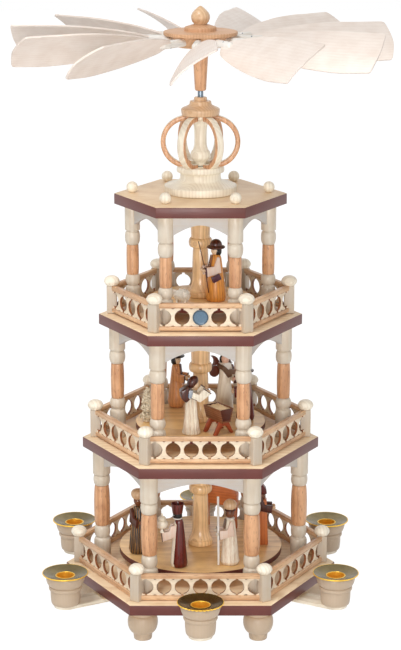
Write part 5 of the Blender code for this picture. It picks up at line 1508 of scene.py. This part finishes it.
def turban(z, radius, height):
    profile = dome(radius, height, 0.42)
    profile += [(radius * 0.96, height * 0.24), (radius * 0.80, height * 0.10), (radius * 0.55, 0), (0, 0)]
    return lifted(lathe(profile, 40), z=z)


def collar(z, x=0.0, radius=0.0048):
    profile = [(0, 0.0016), (radius * 0.72, 0.0016), (radius * 0.95, 0.0010), (radius, 0.0002), (radius * 0.9, 0), (0, 0)]
    return turned(profile, 0.0003, 28, x, z)


class Figure:
    """A carved figure in the making. Its pieces are added in its own frame."""

    def __init__(self, name):
        self.name = name
        storey, x_share, y_share, facing = PLACES[name]
        place = Matrix.Translation((x_share * storey.table_radius, y_share * storey.table_radius,
                                    storey.table_top + SEAT_GAP))
        self.place = place @ Matrix.Rotation(math.radians(facing), 4, "Z")
        self.shift = 0.13 * len(name)

    def add(self, label, finish, *meshes, along="Z"):
        parts = [mark_grain(mesh.copy(), along, (self.shift + 0.017 * i, 0.03 * i, 0)) for i, mesh in
                 enumerate(meshes)]
        mesh = combined(parts) if len(parts) > 1 else parts[0]
        mesh.transform(self.place)
        piece(f"{self.name}_{label}", finished(mesh, finish), "rotor", SLOT_OF[finish], self.name)

    def scatter(self, label, finish, mesh, recipe, values):
        """Copies strewn over a surface by a recipe."""
        self.add(label, finish, grown(mesh, recipe, {**values, "Finish": FINISHES[finish]}))

    def arms(self, cloth, trim, skin, shoulder, spread, reach, drop, inset=0.6, sides=BOTH, trimmed=BOTH,
             thickness=0.0032):
        """Sleeves that hang from the shoulder, the dark line along their open ends, and hands."""
        sleeve = scaled(SLEEVE, reach, drop, shoulder)
        self.add("sleeves", cloth, *[flat(sleeve, thickness, side * spread) for side in sides])
        if trim:
            high, low = shoulder - 0.485 * drop, shoulder - 0.98 * drop
            edge = [(reach, high), (reach + 0.0006, high), (0.93 * reach + 0.0006, low), (0.93 * reach, low)]
            self.add("cuffs", trim, *[flat(edge, thickness + 0.0003, side * spread, 0.0001) for side in trimmed])
        self.add("hands", skin, *[ball(0.0017, (reach + 0.0012, side * spread * inset, shoulder - 0.66 * drop),
                                       (1.25, 1, 1.1), 16, 10) for side in sides])

    def face(self, skin, z, rise, *extras, radius=HEAD_RADIUS, x=0.0004, stretch=(1, 0.94, 1.1), gaze="black_gloss",
             haired=True):
        """A head, its eyes a little over its middle, and a cap of hair over its back."""
        self.add("head", skin, ball(radius, (x, 0, z), stretch), *extras)
        self.add("eyes", gaze, *eyes(z + rise, radius))
        if haired:
            self.add("hair", "black_gloss", ball(radius * 1.06, (-radius * 0.30, 0, z - radius * 0.12),
                                                 (0.92, 1.02, 1.16), 24, 16))


class CAROUSEL_OT_upper_figures(BuildStep):
    """Build the shepherd and the curly sheep on the top turntable"""

    bl_idname = "carousel.upper_figures"
    bl_label = "Top figures"

    def build(self):
        self.shepherd()
        self.sheep()

    def shepherd(self):
        figure = Figure("shepherd")
        head = 0.0515
        figure.add("robe", "ochre_wood", gown(0.0105, 0.0485))
        lapel = mm((4.0, 47.5), (5.2, 47.0), (7.8, 35.0), (6.8, 34.5))
        figure.add("lapels", "dark_wood", *[flat(lapel, 0.0011, side * 0.0022) for side in BOTH])
        figure.arms("rose_wood", "plum_paint", "skin_wood", 0.0455, 0.0058, 0.0125, 0.0200, trimmed=(1,))
        nose = ball(0.0008, (0.0048, 0, head - 0.0004), sides=12, rings=8)
        figure.face("skin_wood", head, 0.0008, nose, stretch=(1, 0.94, 1.12))
        figure.add("hat", "dark_gloss", brimmed_hat(0.0536, 0.0094, 0.0062, 0.0096))
        bend = (0.0133, 0.0044, 0.0340)
        figure.add("staff", "dark_wood", rod((0.0095, 0.0046, 0.0096), bend, 0.00045, 8),
                   rod(bend, (0.0201, 0.0040, 0.0630), 0.00045, 8), ball(0.00045, bend, sides=8, rings=6))
        bag = soft_edges(block(0.0095, 0.0034, 0.0064), 0.0009)
        bag.transform(Matrix.Translation((0.0033, 0.0098, 0.0250)) @ Matrix.Rotation(0.40, 4, "Y"))
        figure.add("bag", "plum_paint", bag)

    def sheep(self):
        figure = Figure("sheep")
        stretch = (1.45, 1.05, 1.05)
        head = ball(0.0029, (0.0086, 0, 0.0098), (1.2, 0.9, 1), 16, 10)
        legs = [rod((x, y, 0), (x, y, 0.0060), 0.0011, 10) for x in (-0.0042, 0.0042) for y in (-0.0026, 0.0026)]
        figure.add("body", "fleece_wood", ball(0.0054, (0, 0, 0.0070), stretch, 28, 18), head, *legs)
        figure.add("eyes", "black_gloss", *eyes(0.0104, 0.0029, 0.0092))
        figure.add("ears", "fleece_wood",
                   *[ball(0.0013, (0.0074, side * 0.0028, 0.0112), (0.7, 1.4, 0.6), 12, 8) for side in BOTH])
        figure.scatter("fleece", "fleece_wood", ball(0.0053, (-0.0004, 0, 0.0072), stretch, 28, 18), "curls",
                       {"Density": 300000.0, "Curl Size": 0.0015, "Curl Width": 0.0009, "Seed": 4})


class CAROUSEL_OT_middle_figures(BuildStep):
    """Build the woman, the manger and the other figures on the middle turntable"""

    bl_idname = "carousel.middle_figures"
    bl_label = "Middle figures"

    def build(self):
        self.woman()
        self.manger()
        self.herdsman()
        self.angel()
        self.drover()
        self.tree()

    def woman(self):
        figure = Figure("robed_woman")
        shares = ((0.50, 0.985), (0.56, 0.93), (0.62, 0.76), (0.74, 0.42), (0.90, 0.14), (1, 0.05), (0.97, 0))
        figure.add("robe", "ribbed_wood", gown(0.0094, 0.0400, 18, 0.0008, shares))
        cape = mm((-3.4, 50.6), (-11.5, 45.8), (-10.8, 38.2), (-6.2, 33.5), (-1.6, 37.6), (-3.6, 41.0), (-2.4, 46.8))
        figure.add("cape", "dark_gloss", flat(cape, 0.0130, soft=0.0012))
        scarf = mm((-3.0, 47.5), (1.0, 46.5), (1.0, 41.8), (-2.4, 37.8), (-4.4, 40.2))
        figure.add("scarf", "scarf_paint", flat(scarf, 0.0152, soft=0.0006))
        arm = mm((0.3, 45.5), (6.6, 42.4), (11.4, 47.8), (18.8, 42.8), (13.6, 38.4), (7.7, 34.4), (-0.7, 38.8))
        figure.add("sleeves", "crown_wood", *[flat(arm, 0.0028, side * 0.0072) for side in BOTH])
        edge = mm((11.0, 48.2), (11.8, 48.4), (19.4, 43.1), (18.9, 42.6))
        seam = mm((-1.0, 38.8), (-0.7, 39.3), (4.6, 36.7), (4.4, 36.1))
        figure.add("cuffs", "dark_wood", *[flat(line, 0.0031, side * 0.0072, 0.0001) for side in BOTH
                                           for line in (edge, seam)])
        tilt = Matrix.Translation((0.0014, 0, 0.0540)) @ Matrix.Rotation(math.radians(36), 4, "Y")
        figure.add("hair", "dark_gloss", moved(ball(0.0050, stretch=(1.0, 1.0, 1.42)), tilt))
        figure.add("face", "skin_wood", ball(0.0040, (0.0040, 0, 0.0512), (1, 0.92, 1.05)))
        figure.add("hands", "skin_wood",
                   *[ball(0.0015, (0.0166, side * 0.0064, 0.0452), (1.4, 1, 0.9), 14, 8) for side in BOTH])

    def manger(self):
        figure = Figure("manger")
        length, floor, top = 0.0280, 0.0130, 0.0272
        half_top, half_floor, wall = 0.0090, 0.0052, 0.0017
        planks = [upright([(side * half_floor, floor), (side * half_top, top), (side * (half_top - wall), top),
                           (side * (half_floor - wall), floor)], length) for side in BOTH]
        planks.append(soft_edges(block(length, 2 * half_floor, wall, (0, 0, floor + wall / 2)), 0.0003))
        figure.add("planks", "trough_wood", *planks, along="X")
        end = [(-half_floor + 0.0004, floor + 0.0002), (half_floor - 0.0004, floor + 0.0002),
               (half_top - 0.0007, top - 0.0004), (0.0007 - half_top, top - 0.0004)]
        figure.add("ends", "dark_wood", *[upright(end, 0.0016, side * (length / 2 - 0.0010)) for side in BOTH])
        leg = mm((-11.8, 0), (-8.5, 0), (-2.8, 8.8), (2.8, 8.8), (8.5, 0), (11.8, 0), (5.0, 13.1), (-5.0, 13.1))
        figure.add("legs", "rust_wood", *[upright(leg, 0.0042, side * 0.0086) for side in BOTH])
        shape = bmesh.new()
        bmesh.ops.create_grid(shape, x_segments=16, y_segments=10, size=1)
        for vert in shape.verts:
            x, y = vert.co.x, vert.co.y
            rise = 0.0022 * (1 - x * x) * (1 - y * y) + 0.0008 * noise.noise(Vector((x * 3, y * 3, 0.5)))
            vert.co = (x * (length / 2 - 0.0022), y * (half_top - 0.0020), top - 0.0012 + rise)
        heap = as_mesh(shape)
        bed = shaped(heap.copy(), ("SOLIDIFY", {"thickness": 0.0030, "offset": -1.0}))
        figure.add("straw_bed", "straw_wood", bed, along="X")
        heap.transform(Matrix.Diagonal((0.62, 0.62, 1, 1)))
        figure.scatter("straw", "straw_wood", heap, "straws",
                       {"Density": 150000.0, "Length": 0.0075, "Radius": 0.00026, "Seed": 9})

    def herdsman(self):
        figure = Figure("herdsman")
        shares = ((0.34, 0.985), (0.46, 0.95), (0.54, 0.88), (0.72, 0.55), (0.92, 0.24), (1, 0.14), (0.98, 0.10),
                  (0.82, 0))
        figure.add("robe", "orange_beech", gown(0.0092, 0.0475, shares=shares))
        figure.add("strip", "dark_wood", flat(mm((3.6, 46.8), (5.2, 46.2), (7.8, 26.2), (6.6, 25.8)), 0.0034))
        figure.arms("orange_beech", "dark_wood", "skin_wood", 0.0448, 0.0052, 0.0112, 0.0180)
        figure.face("skin_wood", 0.0505, 0.0007, radius=0.0045)
        figure.add("hat", "black_gloss", brimmed_hat(0.0537, 0.0089, 0.0054, 0.0083))

    def angel(self):
        figure = Figure("angel")
        figure.add("robe", "crown_wood", gown(0.0095, 0.0540))
        band = mm((-6.6, 50.0), (0.4, 38.6), (8.5, 40.0), (10.0, 46.2), (1.6, 47.4), (-4.0, 52.3))
        figure.add("cape", "umber_wood", upright(band, 0.0126, soft=0.0006))
        bib = mm((-5.0, 53.6), (1.4, 47.0), (5.2, 52.6), (3.0, 54.8), (-3.0, 54.8))
        figure.add("collar", "white_wood", upright(bib, 0.0122, soft=0.0008))
        figure.face("rosy_wood", 0.0578, 0.0006, x=0.0006, stretch=(1, 0.94, 1.08))
        figure.arms("cream_wood", "dark_wood", "rosy_wood", 0.0500, 0.0066, 0.0110, 0.0170, sides=(1,), trimmed=(1,),
                    thickness=0.0028)
        tips = mm((13.4, 61.6), (11.2, 61.8), (8.2, 60.7), (5.6, 58.5), (3.8, 55.5), (2.7, 50.9), (13.2, 50.9),
                  (11.0, 52.3), (10.0, 54.5), (10.1, 57.3), (11.2, 59.6))
        lobes = [(0.0088 + 0.0060 * math.cos(a), min(0.0505, 0.0446 + 0.0063 * math.sin(a)))
                 for a in [TURN * (i + 0.5) / 24 for i in range(24)]]
        for label, outline in (("wing_tips", tips), ("wing_lobes", lobes)):
            figure.add(label, "wing_wood", *[upright([(side * y, z) for y, z in outline], 0.0022, -0.0058)
                                             for side in BOTH])

    def drover(self):
        figure = Figure("drover")
        figure.add("robe", "red_wood", gown(0.0096, 0.0455))
        figure.arms("red_wood", "dark_wood", "skin_wood", 0.0425, 0.0050, 0.0112, 0.0180)
        figure.face("skin_wood", 0.0482, 0.0006)
        figure.add("hat", "dark_gloss", brimmed_hat(0.0513, 0.0089, 0.0056, 0.0086))

    def tree(self):
        figure = Figure("shaving_tree")
        trunk = mm((0, 36.5), (0.6, 36.2), (1.6, 24.0), (2.2, 3.0), (4.0, 2.2), (4.4, 0.6), (4.0, 0), (0, 0))
        figure.add("trunk", "shaving_wood", turned(trunk, 0.0005, 24))
        skirts = [lathe([(0.0012, top), (radius * 0.6, (top + low) / 2), (radius, low), (radius * 0.5, low + 0.0010),
                         (0.0012, low + 0.0022)], 24, bored=True)
                  for radius, top, low in mm((6.8, 13.5, 5.0), (6.2, 21.5, 13.0), (5.2, 29.0, 20.8), (3.8, 35.0, 28.0))]
        figure.scatter("curls", "shaving_wood", combined(skirts), "curls",
                       {"Density": 190000.0, "Curl Size": 0.0017, "Curl Width": 0.0012, "Seed": 12})


class CAROUSEL_OT_lower_figures(BuildStep):
    """Build the robed kings and the camel on the lower turntable"""

    bl_idname = "carousel.lower_figures"
    bl_label = "Lower figures"

    def build(self):
        self.striped()
        self.dark_red()
        self.turbaned()
        self.orange()
        self.camel()

    def striped(self):
        figure = Figure("king_striped")
        figure.add("robe", "striped_wood", gown(0.0098, 0.0510, 9, 0.0005))
        figure.arms("dark_wood", None, "brown_skin", 0.0488, 0.0072, 0.0122, 0.0190)
        beard = mm((0, 10.0), (4.6, 9.8), (4.4, 5.0), (2.2, 0.8), (0, 0))
        figure.add("head", "brown_skin", turned(beard, 0.0009, 32, z=0.0500))
        figure.add("eyes", "white_wood", *eyes(0.0566))
        bowl = mm((0, 10.8), (3.6, 10.4), (6.0, 9.0), (7.2, 6.4), (7.0, 3.8), (5.6, 1.2), (4.2, 0), (0, 0))
        figure.add("hat", "light_wood", turned(bowl, 0.0006, 40, z=0.0582))

    def dark_red(self):
        figure = Figure("king_dark_red")
        lean = 0.0018
        figure.add("robe", "crown_wood", lifted(gown(0.0079, 0.0500), 0.0012))
        figure.add("cape", "red_gloss", lifted(gown(0.0086, 0.0520), 0.0002))
        arm = mm((4.0, 45.5), (8.5, 44.4), (10.8, 38.6), (18.0, 37.8), (17.2, 28.2), (4.0, 32.5))
        edge = mm((18.0, 37.9), (18.6, 37.9), (17.8, 28.1), (17.2, 28.1))
        figure.add("sleeves", "rose_wood", *[flat(arm, 0.0028, side * 0.0032) for side in BOTH])
        figure.add("cuffs", "dark_wood", *[flat(edge, 0.0031, side * 0.0032, 0.0001) for side in BOTH])
        figure.add("collar", "white_wood", collar(0.0512, lean))
        head = mm((0, 5.2), (4.8, 5.0), (4.7, 0.8), (4.0, 0), (0, 0))
        figure.add("head", "black_gloss", turned(head, 0.0009, 32, lean, 0.0521))
        figure.add("eyes", "white_wood", *eyes(0.0550, 0.0048, lean))
        fez = mm((0, 6.6), (5.4, 6.6), (5.9, 10.6), (6.6, 10.6), (5.0, 0), (0, 0))
        figure.add("fez", "red_gloss", turned(fez, 0.0004, 40, lean, 0.0569))
        jar = mm((0, 20.5), (0.8, 20.1), (1.1, 19.0), (0.8, 17.8), (3.0, 16.8), (4.4, 15.2), (4.2, 14.2), (2.6, 13.4))
        jar += swell((0.0030, 0.0132), (0.0022, 0.0046), 0.0034, 10) + mm((1.0, 3.0), (2.2, 0.6), (2.2, 0), (0, 0))
        figure.add("jar", "cream_gloss", moved(turned(jar, 0.0003, 32), Matrix.Translation((0.0180, 0.0050, 0.0385))))
        figure.add("hands", "dark_gloss",
                   *[ball(0.0014, (0.0172, side * 0.0036, 0.0392), (1.25, 1, 1.1), 16, 10) for side in BOTH])

    def turbaned(self):
        figure = Figure("king_turbaned")
        figure.add("robe", "ribbed_wood", gown(0.0096, 0.0490, 24, 0.00022))
        hem = mm((0, 4.4), (9.0, 4.4), (9.8, 4.0), (9.9, 3.0), (8.6, 0.4), (0, 0.4))
        figure.add("hem", "ribbed_wood", turned(hem, 0.0004, 48, z=0.0002))
        figure.add("lapel", "umber_wood", flat(mm((4.2, 48.2), (5.6, 47.4), (7.4, 38.5), (5.2, 38.5)), 0.0060))
        figure.arms("rose_wood", "umber_wood", "cream_wood", 0.0470, 0.0062, 0.0125, 0.0190, 0.95)
        figure.add("collar", "white_wood", collar(0.0484))
        figure.face("brown_skin", 0.0540, 0.0005, x=0.0003, stretch=(1, 0.96, 1.12), haired=False)
        band = mm((0, 2.0), (5.2, 2.0), (5.6, 1.0), (5.2, 0), (0, 0))
        figure.add("band", "dark_wood", turned(band, 0.0004, 36, z=0.0568))
        figure.add("turban", "light_wood", turban(0.0585, 0.0071, 0.0105))
        figure.add("staff", "white_wood", rod((0.0130, 0.0062, 0.0016), (0.0136, 0.0056, 0.0745), 0.0012, 14))

    def orange(self):
        figure = Figure("king_orange")
        height = 0.0490
        robe = soft_edges(block(0.0130, 0.0130, height, (0, 0, height / 2)), 0.0010)
        for vert in robe.vertices:
            vert.co.x *= 1.15 - 0.25 * vert.co.z / height
            vert.co.y *= 1.10 - 0.30 * vert.co.z / height
        figure.add("robe", "orange_wood", robe)
        figure.arms("dark_wood", None, "light_wood", 0.0520, 0.0058, 0.0120, 0.0175)
        figure.face("brown_skin", 0.0524, 0.0006, radius=0.0045, x=0.0003, stretch=(1, 0.95, 1.1), gaze="white_wood",
                    haired=False)
        cap = mm((-6.2, 0), (6.2, 0), (5.0, 6.0), (1.0, 11.2), (-4.2, 12.0), (-6.6, 8.0))
        figure.add("cap", "red_wood", lifted(flat(cap, 0.0100, soft=0.0014), z=0.0552))

    def camel(self):
        figure = Figure("camel")
        length, height = 0.0440, 0.0660
        outline = scaled(((-0.50, 0.44), (-0.51, 0.60), (-0.42, 0.70), (-0.30, 0.74), (-0.20, 0.84), (-0.09, 0.91),
                          (0.02, 0.86), (0.10, 0.76), (0.18, 0.68), (0.26, 0.66), (0.31, 0.76), (0.35, 0.92),
                          (0.40, 0.99), (0.48, 1.0), (0.61, 0.94), (0.62, 0.88), (0.50, 0.85), (0.46, 0.74),
                          (0.45, 0.58), (0.40, 0.47), (0.30, 0.42), (-0.18, 0.40)), length, height)
        figure.add("body", "orange_wood", flat(outline, 0.0096, soft=0.0016), along="X")
        leg = mm((-2.4, 0), (2.2, 0), (1.8, 12.0), (3.0, 30.0), (-3.0, 30.0), (-2.0, 12.0))
        figure.add("legs", "orange_wood", *[flat([(share * length + x, z) for x, z in leg], 0.0034, side * 0.0030)
                                            for share in (-0.42, 0.30) for side in BOTH])
        figure.add("eyes", "black_gloss",
                   *[ball(0.0006, (0.0218, side * 0.0047, 0.0628), sides=10, rings=6) for side in BOTH])


# Stage. Each lamp shines at the focus from its place, and has a width
FOCUS = Vector((0, 0, 0.32))
LAMPS = {"key_lamp": ((-0.7, -0.9, 2.1), 0.8), "side_lamp": ((1.4, -1.2, 0.9), 1.2),
         "front_lamp": ((-0.15, -1.9, 0.45), 0.5), "back_lamp": ((0.2, 1.6, 1.3), 1.0)}
SENSOR_WIDTH = 36.0
LENS = 115.17
CAMERA_TILT = math.radians(75.53)
FLOOR_REACH = 6.0
FLOOR_TONE = 0.86
FLOOR_GLOW = 1.15


class CAROUSEL_OT_stage(BuildStep):
    """Set the pale floor, the soft lamps, the even sky and the camera"""

    bl_idname = "carousel.stage"
    bl_label = "Stage"

    def build(self):
        stage = settings("stage")
        scene = bpy.context.scene
        scene.view_settings.view_transform = "Standard"
        self.add_floor()
        self.add_sky(stage)
        powers = (stage.key_power, stage.fill_power, stage.front_power, stage.fill_power / 3)
        for (name, (place, width)), power in zip(LAMPS.items(), powers):
            lamp = bpy.data.lights.new(name, "AREA")
            lamp.energy, lamp.size = power, width
            item = bpy.data.objects.new(name, lamp)
            item.location = place
            item.rotation_euler = (FOCUS - Vector(place)).to_track_quat("-Z", "Y").to_euler()
            scene.collection.objects.link(item)
        camera = bpy.data.cameras.new("camera")
        camera.sensor_width, camera.lens = SENSOR_WIDTH, LENS
        view = bpy.data.objects.new("camera", camera)
        view.location = (0, -stage.camera_distance, stage.camera_height)
        view.rotation_euler = (CAMERA_TILT, 0, 0)
        scene.collection.objects.link(view)
        scene.camera = view

    def add_floor(self):
        """A matt floor that also glows where the camera or a mirror sees it."""
        corners = [(x * FLOOR_REACH, y * FLOOR_REACH, 0) for x, y in ((-1, -1), (1, -1), (1, 1), (-1, 1))]
        floor = bpy.data.meshes.new("floor")
        floor.from_pydata(corners, [], [(0, 1, 2, 3)])
        made = Finish("floor", {"Roughness": 0.9, "Base Color": (FLOOR_TONE, FLOOR_TONE, FLOOR_TONE, 1),
                                "Specular IOR Level": 0.0})
        path = made.add("ShaderNodeLightPath")
        seen = made.math("MAXIMUM", path.outputs["Is Camera Ray"], path.outputs["Is Glossy Ray"])
        glow = made.add("ShaderNodeEmission", None, {"Color": (1, 1, 1, 1), "Strength": FLOOR_GLOW})
        blend = made.add("ShaderNodeMixShader", None, {0: seen * FLOOR_TONE})
        made.tree.links.new(made.shader.outputs[0], blend.inputs[1])
        made.tree.links.new(glow.outputs[0], blend.inputs[2])
        made.tree.links.new(blend.outputs[0], made.tree.nodes["Material Output"].inputs[0])
        floor.materials.append(made.material)
        item = bpy.data.objects.new("floor", floor)
        bpy.context.scene.collection.objects.link(item)

    def add_sky(self, stage):
        """An even sky that looks white, whatever light it gives."""
        world = bpy.data.worlds.new("sky")
        bpy.context.scene.world = world
        world.use_nodes = True
        made = Nodes(world.node_tree)
        path = made.add("ShaderNodeLightPath")
        seen = made.math("MAXIMUM", path.outputs["Is Camera Ray"], path.outputs["Is Transmission Ray"])
        shown = made.math("MAXIMUM", seen, path.outputs["Is Glossy Ray"])
        strength = stage.sky_strength + shown * (1.0 - stage.sky_strength)
        background = world.node_tree.nodes["Background"]
        background.inputs["Color"].default_value = (1, 1, 1, 1)
        world.node_tree.links.new(strength.socket, background.inputs["Strength"])


STEPS = (CAROUSEL_OT_decks, CAROUSEL_OT_columns, CAROUSEL_OT_fences, CAROUSEL_OT_holders, CAROUSEL_OT_crown,
         CAROUSEL_OT_hubs, CAROUSEL_OT_wheel, CAROUSEL_OT_upper_figures, CAROUSEL_OT_middle_figures,
         CAROUSEL_OT_lower_figures, CAROUSEL_OT_stage)


class CAROUSEL_PT_build(Panel):
    """The sizes, colours and building steps of the carousel"""

    bl_idname = "CAROUSEL_PT_build"
    bl_label = "Candle carousel"
    bl_space_type = "VIEW_3D"
    bl_region_type = "UI"
    bl_category = "Carousel"

    def draw(self, context):
        for group, kind in GROUPS.items():
            box = self.layout.box()
            box.label(text=group.capitalize())
            for name in kind.__annotations__:
                box.prop(getattr(context.scene, f"carousel_{group}"), name)
        for step in STEPS:
            self.layout.operator(step.bl_idname)


CLASSES = (*GROUPS.values(), *STEPS, CAROUSEL_PT_build)


def register():
    for kind in CLASSES:
        bpy.utils.register_class(kind)
    for group, kind in GROUPS.items():
        setattr(bpy.types.Scene, f"carousel_{group}", PointerProperty(type=kind))


def unregister():
    for group in GROUPS:
        delattr(bpy.types.Scene, f"carousel_{group}")
    for kind in reversed(CLASSES):
        bpy.utils.unregister_class(kind)


def main():
    register()
    make_finishes()
    for recipe in (ring_recipe, fret_recipe, vane_recipe, curl_recipe, straw_recipe):
        recipe()
    for step in STEPS:
        group, name = step.bl_idname.split(".")
        getattr(getattr(bpy.ops, group), name)()


if __name__ == "__main__":
    main()
